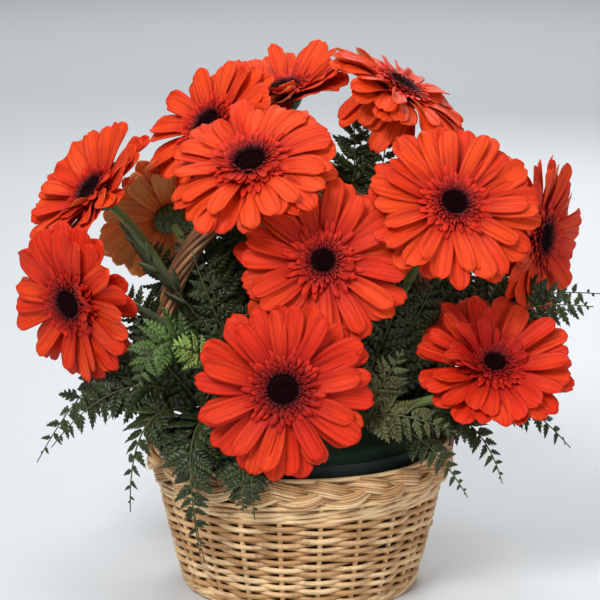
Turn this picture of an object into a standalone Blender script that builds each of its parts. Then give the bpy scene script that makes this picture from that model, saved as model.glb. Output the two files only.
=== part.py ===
# A round willow basket of cut gerberas with fern, as one assembly of separate solids.
# Lengths in the tables are millimetres, MM turns them into metres, and +Z is up.
# The origin is the middle of the basket's flat underside; the front faces -Y.
import math
import random

import bpy
from mathutils import Matrix, Vector

MM = 0.001
GAP = 0.3

# The willow basket.
STAKES = 22
WEAVE_ROWS = 12
BASE_RADIUS = 74.0
FLOOR_THICKNESS = 5.0
WALL_TOP = 71.0
WALL_THICKNESS = 6.0
WALL_FLARE = 22.8
RIM_HEIGHT = 95.0
WEAVER_BULGE = 1.3
WEAVER_GROOVE = 0.9
BORDER_RADIUS = 94.8
BORDER_HALF_WIDTH = 6.4
BORDER_RELIEF = 0.8

# The arched handle of twisted rods, let into the border at both feet.
HANDLE_SPAN = 95.0
HANDLE_PEAK = 252.0
HANDLE_LEAN = 10.0
HANDLE_SQUARENESS = 2.35
HANDLE_RADIUS = 6.6
HANDLE_FOOT_RADIUS = 3.5
HANDLE_FOOT_DEPTH = 18.0
HANDLE_RODS = 4
HANDLE_STEPS = 30
HANDLE_TURNS = 3.0
HANDLE_LOBE = 0.13
SOCKET_RADIUS = (HANDLE_FOOT_RADIUS * (1.0 + HANDLE_LOBE) + GAP) / math.cos(math.pi / 8)

# The plastic liner and the block of wet foam in it.
ROUND_SIDES = 24
LINER_WALL = 1.2
LINER_TOP = 99.0
FOAM_TOP = 104.0
FOAM_SHOULDER = 92.0
FOAM_TOP_RADIUS = 76.0

# A gerbera head; its origin is the middle of the dark eye's underside, facing +Z.
RAYS = 12
HUB_RADIUS = 9.5
HUB_LEVELS = (-0.3, -1.1, -1.7, -2.6, -3.3, -4.2, -5.0)
EYE_RADIUS = 8.8
FLORET_LENGTH = 14.0
RAY_WIDTH = 12.8
RAY_SHOULDER = 0.68
RAY_THICKNESS = 0.8
STEM_RADIUS = 2.7
STEM_SIDES = 6
STEM_STEPS = 5
STEM_DEPTH = 24.0
STEM_RISE_SHARE = 0.45
STEM_ARRIVAL_SHARE = 0.28
NECK_LENGTH = 13.0
BRACT_PROFILE = ((8.5, 5.6), (3.0, 9.2), (0.0, 9.4))
FLORET_TILT = 0.3
LAYER_TILT = math.radians(7.0)

# Each bloom: eye centre, facing as azimuth and elevation in degrees, radius, how far the
# rays cup upwards and droop at the tip in degrees, and where its stem enters the foam.
BLOOMS = (
    ((-143, -30, 188), -39, -5, 51, 10, 16, (-42, -20)),
    ((-132, 12, 252), -58, 40, 50, 20, 8, (-44, 2)),
    ((-58, 29, 292), -48, 39, 50, 12, 14, (-22, 16)),
    ((-10, 72, 309), -45, 73, 50, 26, 6, (-4, 42)),
    ((-30, -38, 278), -19, 52, 55, 8, 26, (-18, -12)),
    ((65, 32, 316), 72, 58, 52, 6, 26, (22, 20)),
    ((94, -46, 254), 13, 34, 54, 8, 14, (30, -14)),
    ((14, -62, 221), 0, 26, 54, 8, 12, (4, -26)),
    ((154, 8, 223), 59, -1, 52, 12, 14, (46, 20)),
    ((-10, -100, 151), 0, 14, 54, 6, 12, (-6, -50)),
    ((120, -50, 154), 6, 50, 51, 18, 10, (50, -26)),
    ((-89, 62, 228), -151, 24, 48, 10, 12, (-32, 38)),
)

# Each frond: where it leaves the foam, the top of its arch, its tip, the way its upper
# face looks, half width, pairs of leaflets, and how much of its length is bare stalk.
FRONDS = (
    ("fern_left_low", (-60, 14, 104), (-112, 18, 156), (-170, 0, 76), (-0.3, -0.6, 0.8), 34, 8, 0.46),
    ("fern_left_mid", (-56, -26, 104), (-108, -42, 144), (-155, -48, 100), (-0.2, -0.8, 0.6), 30, 8, 0.26),
    ("fern_rim_left", (-40, -50, 104), (-74, -92, 132), (-57, -113, 46), (-0.3, -0.9, 0.3), 30, 8, 0.26),
    ("fern_rim_side", (-56, -42, 104), (-98, -72, 134), (-104, -80, 68), (-0.6, -0.7, 0.3), 24, 7, 0.34),
    ("fern_rim_front", (-20, -60, 104), (-31, -97, 118), (-27, -114, 74), (-0.1, -1.0, 0.3), 18, 6, 0.36),
    ("fern_bright", (-34, -40, 104), (-82, -74, 184), (-98, -86, 146), (-0.2, -0.9, 0.4), 26, 7, 0.46),
    ("fern_sprig", (-16, -40, 104), (-58, -72, 160), (-76, -84, 174), (0.0, -0.9, 0.4), 18, 5, 0.55),
    ("fern_right_high", (58, 26, 104), (116, 58, 168), (203, 80, 170), (0.0, -0.9, 0.5), 34, 8, 0.36),
    ("fern_right_low", (62, -2, 104), (118, -22, 138), (172, -22, 92), (0.3, -0.6, 0.8), 32, 8, 0.38),
    ("fern_right_tip", (58, -36, 104), (104, -58, 126), (125, -66, 82), (0.4, -0.7, 0.5), 22, 7, 0.34),
    ("fern_olive", (24, -60, 104), (58, -94, 132), (98, -92, 120), (0.1, -0.8, 0.6), 22, 7, 0.24),
    ("fern_rim_right", (46, -52, 104), (78, -88, 112), (102, -88, 80), (0.3, -0.8, 0.4), 16, 6, 0.36),
    ("fern_mid_left", (-26, -30, 104), (-50, -46, 170), (-66, -50, 226), (-0.2, -1.0, 0.1), 36, 8, 0.16),
    ("fern_mid_right", (30, -38, 104), (52, -48, 160), (66, -52, 216), (0.1, -1.0, 0.1), 32, 8, 0.16),
    ("fern_top", (14, 50, 104), (26, 66, 220), (38, 62, 312), (0.0, -1.0, 0.2), 34, 9, 0.30),
    ("leaf_spray", (-32, 2, 104), (-78, -12, 184), (-114, -14, 236), (-0.3, -0.9, 0.3), 20, 6, 0.46),
    ("fern_back_left", (-42, 54, 104), (-66, 104, 160), (-112, 122, 112), (-0.4, 0.7, 0.7), 46, 8, 0.18),
    ("fern_back_mid", (0, 60, 104), (0, 108, 176), (4, 136, 222), (0.0, 1.0, 0.3), 44, 8, 0.18),
    ("fern_back_right", (38, 56, 104), (64, 104, 158), (112, 124, 108), (0.4, 0.7, 0.7), 46, 8, 0.18),
)
RIB_HALF_WIDTH = 1.0
STALK_HALF = 1.0
STALK_DEPTH = 18.0
STALK_STEPS = 3
STALK_BORE_RADIUS = 1.45 * STALK_HALF + 2 * GAP
BLADE_HALF_THICKNESS = 0.4


def clear_scene():
    for thing in list(bpy.data.objects):
        bpy.data.objects.remove(thing)


def material(name, colour, roughness, metallic=0.0):
    made = bpy.data.materials.get(name)
    if made is None:
        made = bpy.data.materials.new(name)
        made.use_nodes = True
        shader = made.node_tree.nodes["Principled BSDF"]
        shader.inputs["Base Color"].default_value = (*colour, 1.0)
        shader.inputs["Roughness"].default_value = roughness
        shader.inputs["Metallic"].default_value = metallic
        made.diffuse_color = (*colour, 1.0)
    return made


def solid(name, points, faces, finish):
    """Make one object from points in millimetres and faces that are wound outwards."""
    mesh = bpy.data.meshes.new(name)
    mesh.from_pydata([Vector(point) * MM for point in points], [], faces)
    mesh.materials.append(finish)
    thing = bpy.data.objects.new(name, mesh)
    bpy.context.collection.objects.link(thing)
    return thing


def flat_split(face):
    """Split a polygon into a fan of triangles from its first corner."""
    return [(face[0], face[k], face[k + 1]) for k in range(1, len(face) - 1)]


def bridge(lower, upper):
    """Triangles between two rings of point numbers, outwards when both run anticlockwise."""
    count = len(lower)
    faces = []
    for i in range(count):
        j = (i + 1) % count
        faces.append((lower[i], lower[j], upper[j]))
        faces.append((lower[i], upper[j], upper[i]))
    return faces


def turned(point_rings, closed_high=True):
    """Join rings of points into a body with a flat lower end and, if closed_high, upper end."""
    points = [point for ring in point_rings for point in ring]
    count = len(point_rings[0])
    rings = [list(range(k * count, (k + 1) * count)) for k in range(len(point_rings))]
    faces = []
    for lower, upper in zip(rings, rings[1:]):
        faces += bridge(lower, upper)
    faces += flat_split(rings[0][::-1])
    if closed_high:
        faces += flat_split(rings[-1])
    return points, faces


def subtract(target, cutters):
    """Cut every cutter from the target with one exact Boolean each, and drop the cutters."""
    for cutter in cutters:
        cutter.hide_render = True
        cutter.display_type = "WIRE"
        cut = target.modifiers.new("cut", "BOOLEAN")
        cut.operation = "DIFFERENCE"
        cut.solver = "EXACT"
        cut.object = cutter
    bpy.context.view_layer.update()
    graph = bpy.context.evaluated_depsgraph_get()
    mesh = bpy.data.meshes.new_from_object(target.evaluated_get(graph))
    target.modifiers.clear()
    target.data = mesh
    for cutter in cutters:
        bpy.data.objects.remove(cutter)


def wall_radius(height):
    """Mean outer radius of the woven wall, flaring quickly at the foot and less above."""
    return BASE_RADIUS + WALL_FLARE * (max(height, 0.0) / RIM_HEIGHT) ** 0.8


def circle(radius, height, sides, shift=0.0):
    step = 2.0 * math.pi / sides
    return [
        (radius * math.cos((i + shift) * step), radius * math.sin((i + shift) * step), height)
        for i in range(sides)
    ]


def weave_ring(row, height, crest):
    """One ring of the wall: weavers bulge over every second stake and pass behind the next."""
    ring = []
    for column in range(2 * STAKES):
        angle = math.pi * column / STAKES
        radius = wall_radius(height)
        if not crest:
            radius -= WEAVER_GROOVE
        elif column % 2 == 0:
            over = (row + column // 2) % 2 == 0
            radius += WEAVER_BULGE if over else -WEAVER_BULGE
        ring.append((radius * math.cos(angle), radius * math.sin(angle), height))
    return ring


def make_basket_body(finish):
    columns = 2 * STAKES
    pitch = WALL_TOP / WEAVE_ROWS
    inner_top = wall_radius(WALL_TOP) - WALL_THICKNESS
    inner_low = wall_radius(FLOOR_THICKNESS) - WALL_THICKNESS
    rings = [circle(BASE_RADIUS + WEAVER_GROOVE, 0.0, columns)]
    for row in range(WEAVE_ROWS):
        rings.append(weave_ring(row, (row + 0.5) * pitch, True))
        rings.append(weave_ring(row, (row + 1.0) * pitch, False))
    rings.append(circle(inner_top, WALL_TOP, columns))
    rings.append(circle(inner_low, FLOOR_THICKNESS, columns))
    points, faces = turned(rings)
    return solid("basket_body", points, faces, finish)


def make_border(finish):
    """The plaited border: an upright oval ring whose surface carries slanting bundles."""
    low = WALL_TOP + GAP
    half = (RIM_HEIGHT - low) / 2.0
    middle = low + half
    profile = ((-0.97, -1.0), (0.55, -1.0), (1.0, -0.45), (1.0, 0.45))
    profile += ((0.55, 1.0), (-0.55, 1.0), (-1.0, 0.45), (-1.0, -0.45))
    steps = 2 * STAKES
    points = []
    for step in range(steps):
        angle = 2.0 * math.pi * step / steps
        for k, (across, up) in enumerate(profile):
            raised = BORDER_RELIEF if (step + k) % 2 else -BORDER_RELIEF
            lift = 0.0 if up == -1.0 else raised
            drop = BORDER_RELIEF if up == 1.0 and raised < 0.0 else 0.0
            height = middle + half * up - drop
            radius = BORDER_RADIUS + (BORDER_HALF_WIDTH + lift) * across
            points.append((radius * math.cos(angle), radius * math.sin(angle), height))
    count = len(profile)
    faces = []
    for step in range(steps):
        after = (step + 1) % steps
        for k in range(count):
            j = (k + 1) % count
            a, b = step * count + k, step * count + j
            c, d = after * count + j, after * count + k
            faces += [(a, c, b), (a, d, c)]
    border = solid("basket_border", points, faces, finish)
    sockets = []
    for side in (-1, 1):
        foot_levels = (RIM_HEIGHT - HANDLE_FOOT_DEPTH - GAP, RIM_HEIGHT + 10.0)
        rings = [circle(SOCKET_RADIUS, z, 8, 0.5) for z in foot_levels]
        moved = [[(x + side * HANDLE_SPAN, y, z) for x, y, z in ring] for ring in rings]
        cut_points, cut_faces = turned(moved)
        sockets.append(solid("socket", cut_points, cut_faces, finish))
    subtract(border, sockets)
    return border


def arch_point(t):
    """The handle's middle line for t from 0 at the left foot to 1 at the right foot."""
    turn = math.pi * (1.0 - t)
    c, s = math.cos(turn), math.sin(turn)
    power = 2.0 / HANDLE_SQUARENESS
    x = HANDLE_SPAN * math.copysign(abs(c) ** power, c)
    rise = abs(s) ** power
    z = RIM_HEIGHT + (HANDLE_PEAK - RIM_HEIGHT) * rise
    return Vector((x, HANDLE_LEAN * rise, z))


def tube_rings(path, radii, sides, start_normal, turns=0.0, relief=0.0):
    """Rings of points round a path, carried along it; relief lifts every second one."""
    rings = []
    normal = Vector(start_normal)
    last = len(path) - 1
    for k, point in enumerate(path):
        tangent = (path[min(k + 1, last)] - path[max(k - 1, 0)]).normalized()
        normal = (normal - tangent * normal.dot(tangent)).normalized()
        binormal = tangent.cross(normal)
        ring = []
        for i in range(sides):
            angle = 2.0 * math.pi * (i / sides + turns * k / last)
            lobe = 1.0 + (relief if i % 2 == 0 else -relief)
            offset = normal * math.cos(angle) + binormal * math.sin(angle)
            ring.append(tuple(point + offset * radii[k] * lobe))
        rings.append(ring)
    return rings


def make_handle(finish):
    foot = HANDLE_FOOT_DEPTH
    path = [Vector((-HANDLE_SPAN, 0.0, RIM_HEIGHT - foot))]
    radii = [HANDLE_FOOT_RADIUS]
    for k in range(HANDLE_STEPS + 1):
        t = k / HANDLE_STEPS
        path.append(arch_point(t))
        at_foot = k in (0, HANDLE_STEPS)
        radii.append(HANDLE_FOOT_RADIUS if at_foot else HANDLE_RADIUS)
    path.append(Vector((HANDLE_SPAN, 0.0, RIM_HEIGHT - foot)))
    radii.append(HANDLE_FOOT_RADIUS)
    sides = 2 * HANDLE_RODS
    rings = tube_rings(path, radii, sides, (0, -1, 0), HANDLE_TURNS, HANDLE_LOBE)
    points, faces = turned(rings)
    return solid("handle", points, faces, finish)


def liner_radius(height):
    """Outer radius of the liner, a little inside the woven wall and the border."""
    inner_top = wall_radius(WALL_TOP) - WALL_THICKNESS
    inner_low = wall_radius(FLOOR_THICKNESS) - WALL_THICKNESS
    share = (height - FLOOR_THICKNESS) / (WALL_TOP - FLOOR_THICKNESS)
    return (inner_low + (inner_top - inner_low) * share) - 2 * GAP


def make_liner(finish):
    low = FLOOR_THICKNESS + GAP
    levels = (low, WALL_TOP, LINER_TOP)
    radii = [liner_radius(low), liner_radius(WALL_TOP), liner_radius(WALL_TOP) + 0.6]
    rings = [circle(r, z, ROUND_SIDES) for r, z in zip(radii, levels)]
    rings += [circle(r - LINER_WALL, z, ROUND_SIDES) for r, z in zip(radii[::-1], levels[::-1][:-1])]
    rings.append(circle(radii[0] - LINER_WALL, low + LINER_WALL, ROUND_SIDES))
    points, faces = turned(rings)
    return solid("liner", points, faces, finish)


def foam_bore(mouth, direction, radius, depth, finish):
    """A six-sided bore that runs along a stem from above the foam down to its foot."""
    direction = Vector(direction).normalized()
    path = [Vector(mouth) - direction * (depth + GAP), Vector(mouth) + direction * 30.0]
    rings = tube_rings(path, [radius, radius], 6, (0, -1, 0))
    points, faces = turned(rings)
    return solid("bore", points, faces, finish)


def make_foam(finish, bores):
    low = FLOOR_THICKNESS + GAP + LINER_WALL + GAP
    inset = LINER_WALL + 2 * GAP
    levels = (low, FOAM_SHOULDER, FOAM_TOP)
    radii = (liner_radius(low) - inset, liner_radius(WALL_TOP) - inset, FOAM_TOP_RADIUS)
    points, faces = turned([circle(r, z, ROUND_SIDES) for r, z in zip(radii, levels)])
    foam = solid("foam", points, faces, finish)
    subtract(foam, bores)
    return foam


def facing(azimuth, elevation):
    """A unit vector; azimuth 0 looks to the front (-Y), 90 to +X."""
    a, e = math.radians(azimuth), math.radians(elevation)
    return Vector((math.cos(e) * math.sin(a), -math.cos(e) * math.cos(a), math.sin(e)))


def head_frame(bloom):
    """The frame of one head: +Z along its facing, +X level, at the eye's centre."""
    centre, azimuth, elevation = Vector(bloom[0]), bloom[1], bloom[2]
    normal = facing(azimuth, elevation)
    level = Vector((math.cos(math.radians(azimuth)), math.sin(math.radians(azimuth)), 0.0))
    up = normal.cross(level)
    frame = Matrix((level, up, normal)).transposed().to_4x4()
    frame.translation = centre
    return frame


def polar(radius, angle, height):
    return (radius * math.cos(angle), radius * math.sin(angle), height)


def ray_blade(points, faces, roots, angle, length, rise, droop):
    """Add one ray: from two hub points out to its shoulders and a blunt two-point tip.

    roots holds the point numbers of the hub: upper left, upper right, lower left, lower right
    as seen from the front, in the order of growing angle.
    """
    first_top, second_top, first_low, second_low = roots
    base = points[first_top][2]
    run = length * RAY_SHOULDER
    shoulder_r = HUB_RADIUS + run * math.cos(rise)
    shoulder_z = base + run * math.sin(rise)
    rest = length - run
    tip_r = shoulder_r + rest * math.cos(rise - droop)
    tip_z = shoulder_z + rest * math.sin(rise - droop)
    half = RAY_WIDTH / 2.0
    outline = ((shoulder_r, -half, shoulder_z), (tip_r, -half * 0.45, tip_z),
               (tip_r, half * 0.45, tip_z), (shoulder_r, half, shoulder_z))
    start = len(points)
    for drop in (0.0, RAY_THICKNESS):
        for along, across, height in outline:
            x = along * math.cos(angle) - across * math.sin(angle)
            y = along * math.sin(angle) + across * math.cos(angle)
            points.append((x, y, height - drop))
    s1, t1, t2, s2 = range(start, start + 4)
    u1, v1, v2, u2 = range(start + 4, start + 8)
    top = [(first_top, s1, s2), (first_top, s2, second_top), (s1, t1, t2), (s1, t2, s2)]
    swap = {first_top: first_low, second_top: second_low, s1: u1, t1: v1, t2: v2, s2: u2}
    faces += top
    faces += [tuple(swap[k] for k in reversed(face)) for face in top]
    edge = (first_top, s1, t1, t2, s2, second_top)
    for a, b in zip(edge, edge[1:]):
        faces += flat_split((b, a, swap[a], swap[b]))


def make_bloom(number, bloom, finish):
    """Ray petals in two staggered layers and a collar of short florets, on one hub."""
    draw = random.Random(number)
    pitch = 2.0 * math.pi / RAYS
    radius, cup, droop = bloom[3], math.radians(bloom[4]), math.radians(bloom[5])
    points = [(0.0, 0.0, HUB_LEVELS[0])]
    rings = []
    for level, height in enumerate(HUB_LEVELS):
        shift = 0.5 if level >= 4 else 0.0
        rings.append(list(range(len(points), len(points) + RAYS)))
        points += circle(HUB_RADIUS, height, RAYS, shift)
    points.append((0.0, 0.0, HUB_LEVELS[-1]))
    under = len(points) - 1
    faces = []
    for i in range(RAYS):
        j = (i + 1) % RAYS
        faces.append((0, rings[0][i], rings[0][j]))
        tip_r = HUB_RADIUS + FLORET_LENGTH * math.cos(cup + FLORET_TILT)
        tip_z = HUB_LEVELS[0] + FLORET_LENGTH * math.sin(cup + FLORET_TILT)
        tip = len(points)
        points.append(polar(tip_r, (i + 0.5) * pitch, tip_z))
        points.append(polar(tip_r, (i + 0.5) * pitch, tip_z - RAY_THICKNESS))
        faces.append((rings[0][i], tip, rings[0][j]))
        faces.append((rings[1][i], rings[1][j], tip + 1))
        faces += flat_split((tip, rings[0][i], rings[1][i], tip + 1))
        faces += flat_split((rings[0][j], tip, tip + 1, rings[1][j]))
    faces += bridge(rings[2], rings[1])
    for i in range(RAYS):
        j = (i + 1) % RAYS
        faces.append((rings[4][i], rings[3][j], rings[3][i]))
        faces.append((rings[4][i], rings[4][j], rings[3][j]))
    faces += bridge(rings[6], rings[5])
    for layer, top in ((0, 2), (1, 4)):
        for i in range(RAYS):
            j = (i + 1) % RAYS
            angle = (i + 0.5 + 0.5 * layer) * pitch + draw.uniform(-0.03, 0.03)
            length = (radius - HUB_RADIUS) * draw.uniform(0.93, 1.03)
            rise = cup - LAYER_TILT * layer + draw.uniform(-0.03, 0.03)
            roots = (rings[top][i], rings[top][j], rings[top + 1][i], rings[top + 1][j])
            ray_blade(points, faces, roots, angle, length, rise, droop)
    faces += [(under, rings[6][(i + 1) % RAYS], rings[6][i]) for i in range(RAYS)]
    frame = head_frame(bloom)
    placed = [tuple(frame @ Vector(point)) for point in points]
    return solid(f"bloom_{number:02d}", placed, faces, finish)


def zigzag(ring, step):
    """Move every second point of a ring up by step, or down if step is negative."""
    return [(x, y, z + step * (i % 2)) for i, (x, y, z) in enumerate(ring)]


def make_eye(number, bloom, finish):
    """The dark disc of unopened florets: a low dome with a zigzag edge and a dished middle."""
    sides = 10
    outer = circle(EYE_RADIUS, 0.0, sides)
    wall = zigzag(circle(EYE_RADIUS * 0.97, 1.5, sides), 0.7)
    crown = zigzag(circle(EYE_RADIUS * 0.6, 3.0, sides), -0.6)
    points, faces = turned([outer, wall, crown], closed_high=False)
    points.append((0.0, 0.0, 2.2))
    top = range(2 * sides, 3 * sides)
    faces += [(len(points) - 1, top[i], top[(i + 1) % sides]) for i in range(sides)]
    frame = head_frame(bloom)
    placed = [tuple(frame @ Vector(point)) for point in points]
    return solid(f"eye_{number:02d}", placed, faces, finish)


def bezier(a, b, c, d, t):
    s = 1.0 - t
    return a * s ** 3 + b * 3 * s * s * t + c * 3 * s * t * t + d * t ** 3


def stem_start(entry):
    """Where a stem meets the foam's top, and the way that it leans out of it."""
    mouth = Vector((entry[0], entry[1], FOAM_TOP))
    lean = Vector((entry[0], entry[1], 0.0)) / 110.0
    return mouth, (Vector((0, 0, 1)) + lean).normalized()


def make_stem(number, bloom, finish):
    """Green scape from its foot in the foam up to the cup of bracts under the head."""
    normal = facing(bloom[1], bloom[2])
    cup_top = Vector(bloom[0]) + normal * (HUB_LEVELS[-1] - GAP)
    neck = cup_top - normal * NECK_LENGTH
    mouth, direction = stem_start(bloom[6])
    span = (neck - mouth).length
    rising = mouth + direction * span * STEM_RISE_SHARE
    arriving = neck - normal * span * STEM_ARRIVAL_SHARE
    path = [mouth - direction * STEM_DEPTH]
    for k in range(STEM_STEPS + 1):
        t = k / STEM_STEPS
        path.append(bezier(mouth, rising, arriving, neck, t))
    radii = [STEM_RADIUS] * len(path)
    for back, radius in BRACT_PROFILE:
        path.append(cup_top - normal * back)
        radii.append(radius)
    points, faces = turned(tube_rings(path, radii, STEM_SIDES, (0, -1, 0)))
    return solid(f"stem_{number:02d}", points, faces, finish)


def sheet_solid(name, middle, normals, halves, triangles, finish):
    """Thicken a sheet of triangles to both sides and wall its open edge."""
    count = len(middle)
    points = [tuple(p + n * h) for p, n, h in zip(middle, normals, halves)]
    points += [tuple(p - n * h) for p, n, h in zip(middle, normals, halves)]
    faces = list(triangles) + [tuple(k + count for k in reversed(tri)) for tri in triangles]
    directed = set()
    for tri in triangles:
        directed.update(zip(tri, tri[1:] + tri[:1]))
    for a, b in sorted(directed):
        if (b, a) not in directed:
            faces += flat_split((b, a, a + count, b + count))
    return solid(name, points, faces, finish)


def leaflet_length(share, half_width):
    """Leaflets are longest a quarter of the way up the blade and shorten to its tip."""
    return half_width * (1.0 - share) ** 0.75 * min(1.0, 0.72 + 1.3 * share)


def make_frond(frond, finish):
    """One thin arched blade, its outline cut into leaflets close to the rib."""
    mouth, crest, tip, face = (Vector(frond[k]) for k in range(1, 5))
    half_width, pairs, bare = frond[5:]
    lean = stalk_direction(mouth, crest)
    reach = (crest - mouth).length

    def spine(t):
        return bezier(mouth, mouth + lean * reach * 0.7, crest + (crest - mouth) * 0.18, tip, t)

    def frame(t):
        ahead = (spine(min(t + 0.01, 1.0)) - spine(max(t - 0.01, 0.0))).normalized()
        side = ahead.cross(face).normalized()
        return spine(t), ahead, side, side.cross(ahead)

    stations = [(None, mouth - lean * STALK_DEPTH)]
    stations += [(bare * k / STALK_STEPS, None) for k in range(STALK_STEPS)]
    stations += [(bare + (1.0 - bare) * 0.97 * k / pairs, None) for k in range(pairs + 1)]
    middle, normals, halves, triangles = [], [], [], []

    def add(point, normal, half):
        middle.append(point)
        normals.append(normal)
        halves.append(half)
        return len(middle) - 1

    edges = []
    for t, fixed in stations:
        point, ahead, side, normal = frame(0.0 if t is None else t)
        point = fixed if t is None else point
        share = 0.0 if t is None else max(0.0, (t - bare) / (1.0 - bare))
        half = STALK_HALF - (STALK_HALF - BLADE_HALF_THICKNESS) * share
        wide = RIB_HALF_WIDTH * (1.0 - 0.5 * share)
        edges.append((add(point - side * wide, normal, half), add(point + side * wide, normal, half)))
    for (l0, r0), (l1, r1) in zip(edges, edges[1:]):
        triangles += [(l0, r0, r1), (l0, r1, l1)]
    first = len(stations) - pairs - 1
    for k in range(pairs):
        low, high = stations[first + k][0], stations[first + k + 1][0]
        point, ahead, side, normal = frame((low + high) / 2.0)
        step = (spine(high) - spine(low)).length
        length = leaflet_length((k + 0.5) / pairs, half_width)
        for sign, near, far in ((-1, edges[first + k][0], edges[first + k + 1][0]),
                                (1, edges[first + k][1], edges[first + k + 1][1])):
            out = side * sign
            belly_ahead = length * 0.18 - step * 0.35
            belly = point + out * length * 0.5 + ahead * belly_ahead - normal * length * 0.04
            end = point + out * length + ahead * length * 0.5 - normal * length * 0.16
            b = add(belly, normal, BLADE_HALF_THICKNESS)
            e = add(end, normal, BLADE_HALF_THICKNESS)
            leaflet = [(near, b, e), (near, e, far)]
            triangles += leaflet if sign == 1 else [tuple(reversed(tri)) for tri in leaflet]
    point, ahead, side, normal = frame(1.0)
    last = add(point, normal, BLADE_HALF_THICKNESS)
    triangles.append((edges[-1][0], edges[-1][1], last))
    return sheet_solid(frond[0], middle, normals, halves, triangles, finish)


def stalk_direction(mouth, crest):
    """A stalk leaves the foam leaning halfway between upright and towards its crest."""
    return (Vector((0, 0, 1)) + (crest - mouth).normalized()).normalized()


def main():
    clear_scene()
    willow = material("willow", (0.56, 0.36, 0.17), 0.6)
    handle_rod = material("handle_rod", (0.30, 0.16, 0.08), 0.6)
    ray = material("ray", (0.84, 0.10, 0.02), 0.5)
    eye = material("eye", (0.03, 0.005, 0.01), 0.8)
    stem = material("stem", (0.20, 0.33, 0.09), 0.5)
    fern = material("fern", (0.05, 0.13, 0.04), 0.5)
    liner = material("liner", (0.01, 0.09, 0.05), 0.3)
    foam = material("foam", (0.03, 0.12, 0.06), 0.9)
    make_basket_body(willow)
    make_border(willow)
    make_handle(handle_rod)
    make_liner(liner)
    bores = []
    for number, bloom in enumerate(BLOOMS, 1):
        make_bloom(number, bloom, ray)
        make_eye(number, bloom, eye)
        make_stem(number, bloom, stem)
        mouth, direction = stem_start(bloom[6])
        bores.append(foam_bore(mouth, direction, STEM_RADIUS + 2 * GAP, STEM_DEPTH, foam))
    for frond in FRONDS:
        make_frond(frond, fern)
        mouth = Vector(frond[1])
        direction = stalk_direction(mouth, Vector(frond[2]))
        bores.append(foam_bore(mouth, direction, STALK_BORE_RADIUS, STALK_DEPTH, foam))
    make_foam(foam, bores)


main()
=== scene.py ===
# %% [markdown]
# # A willow basket of cut gerberas
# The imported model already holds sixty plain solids: basket, handle, liner, foam, twelve
# flower heads with their eyes and stems, and nineteen fronds. This lesson dresses them.
# Each new piece is worked out with numpy as a surface over two numbers, takes the place
# of the plain solid it stands for, and gets a finish made only of shader nodes.
# Lengths are written in millimetres and turned into metres when a mesh is made.

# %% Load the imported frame
import math
from collections import namedtuple
import bpy
import numpy as np
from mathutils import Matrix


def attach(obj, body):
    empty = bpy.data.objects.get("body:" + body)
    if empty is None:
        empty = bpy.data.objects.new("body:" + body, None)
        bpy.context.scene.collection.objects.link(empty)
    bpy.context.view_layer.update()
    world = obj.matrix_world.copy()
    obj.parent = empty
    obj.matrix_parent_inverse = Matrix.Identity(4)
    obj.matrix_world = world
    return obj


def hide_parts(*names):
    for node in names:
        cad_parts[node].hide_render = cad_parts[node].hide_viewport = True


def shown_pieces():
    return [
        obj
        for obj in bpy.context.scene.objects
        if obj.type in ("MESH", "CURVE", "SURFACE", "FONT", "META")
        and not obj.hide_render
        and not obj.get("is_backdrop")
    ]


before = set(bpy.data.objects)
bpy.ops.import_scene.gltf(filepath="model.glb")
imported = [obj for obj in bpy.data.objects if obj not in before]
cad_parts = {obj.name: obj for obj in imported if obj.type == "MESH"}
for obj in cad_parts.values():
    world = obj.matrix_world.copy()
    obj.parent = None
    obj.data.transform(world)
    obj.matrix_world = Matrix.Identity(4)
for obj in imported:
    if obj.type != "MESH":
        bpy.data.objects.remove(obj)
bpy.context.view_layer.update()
MM = 0.001
UP = np.array([0.0, 0.0, 1.0])
chance = np.random.default_rng(20)

# %% [markdown]
# ## From grids of points to meshes
# Every piece below is one or more grids of points. A sheet is an open grid and a rod is a
# grid that closes on itself the short way round. Numbering the corners of all the quads
# at once with array arithmetic is quick, so no loop over vertices is needed.
# Each corner also gets a UV place: across the piece first, along it second.


# %% Number the quads of many grids at once
def flat(values, shape):
    """Spread values given per grid, or per row of a grid, over every point of the grids."""
    values = np.asarray(values, dtype=float)
    values = values.reshape(values.shape + (1,) * (3 - values.ndim))
    return np.broadcast_to(values, shape).reshape(-1)


def gridded(points, tone=0.5, reach=0.5, tube=False, ring=False):
    """Grids shaped (grid, along, across, 3) with the corner numbers and UVs of their quads.
    A tube joins its last line of points to its first, a ring its last row to its first.
    The upper side of an open sheet is where along crossed with across points."""
    count, rows, columns = points.shape[:3]
    last_row, last_column = rows - (not ring), columns - (not tube)
    r, c = np.meshgrid(np.arange(last_row), np.arange(last_column), indexing="ij")
    step_r = np.stack([r, r + 1, r + 1, r], -1).reshape(-1, 4)
    step_c = np.stack([c, c, c + 1, c + 1], -1).reshape(-1, 4)
    quads = (step_r % rows) * columns + step_c % columns
    quads = (quads + np.arange(count)[:, None, None] * rows * columns).reshape(-1, 4)
    uvs = np.tile(np.stack([step_c / last_column, step_r / last_row], -1), (count, 1, 1))
    if tube:
        quads, uvs = quads[:, ::-1], uvs[:, ::-1]
    return {"points": points.reshape(-1, 3), "faces": [quads], "uvs": [uvs],
            "tone": flat(tone, (count, rows, columns)),
            "reach": flat(reach, (count, rows, columns))}


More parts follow.
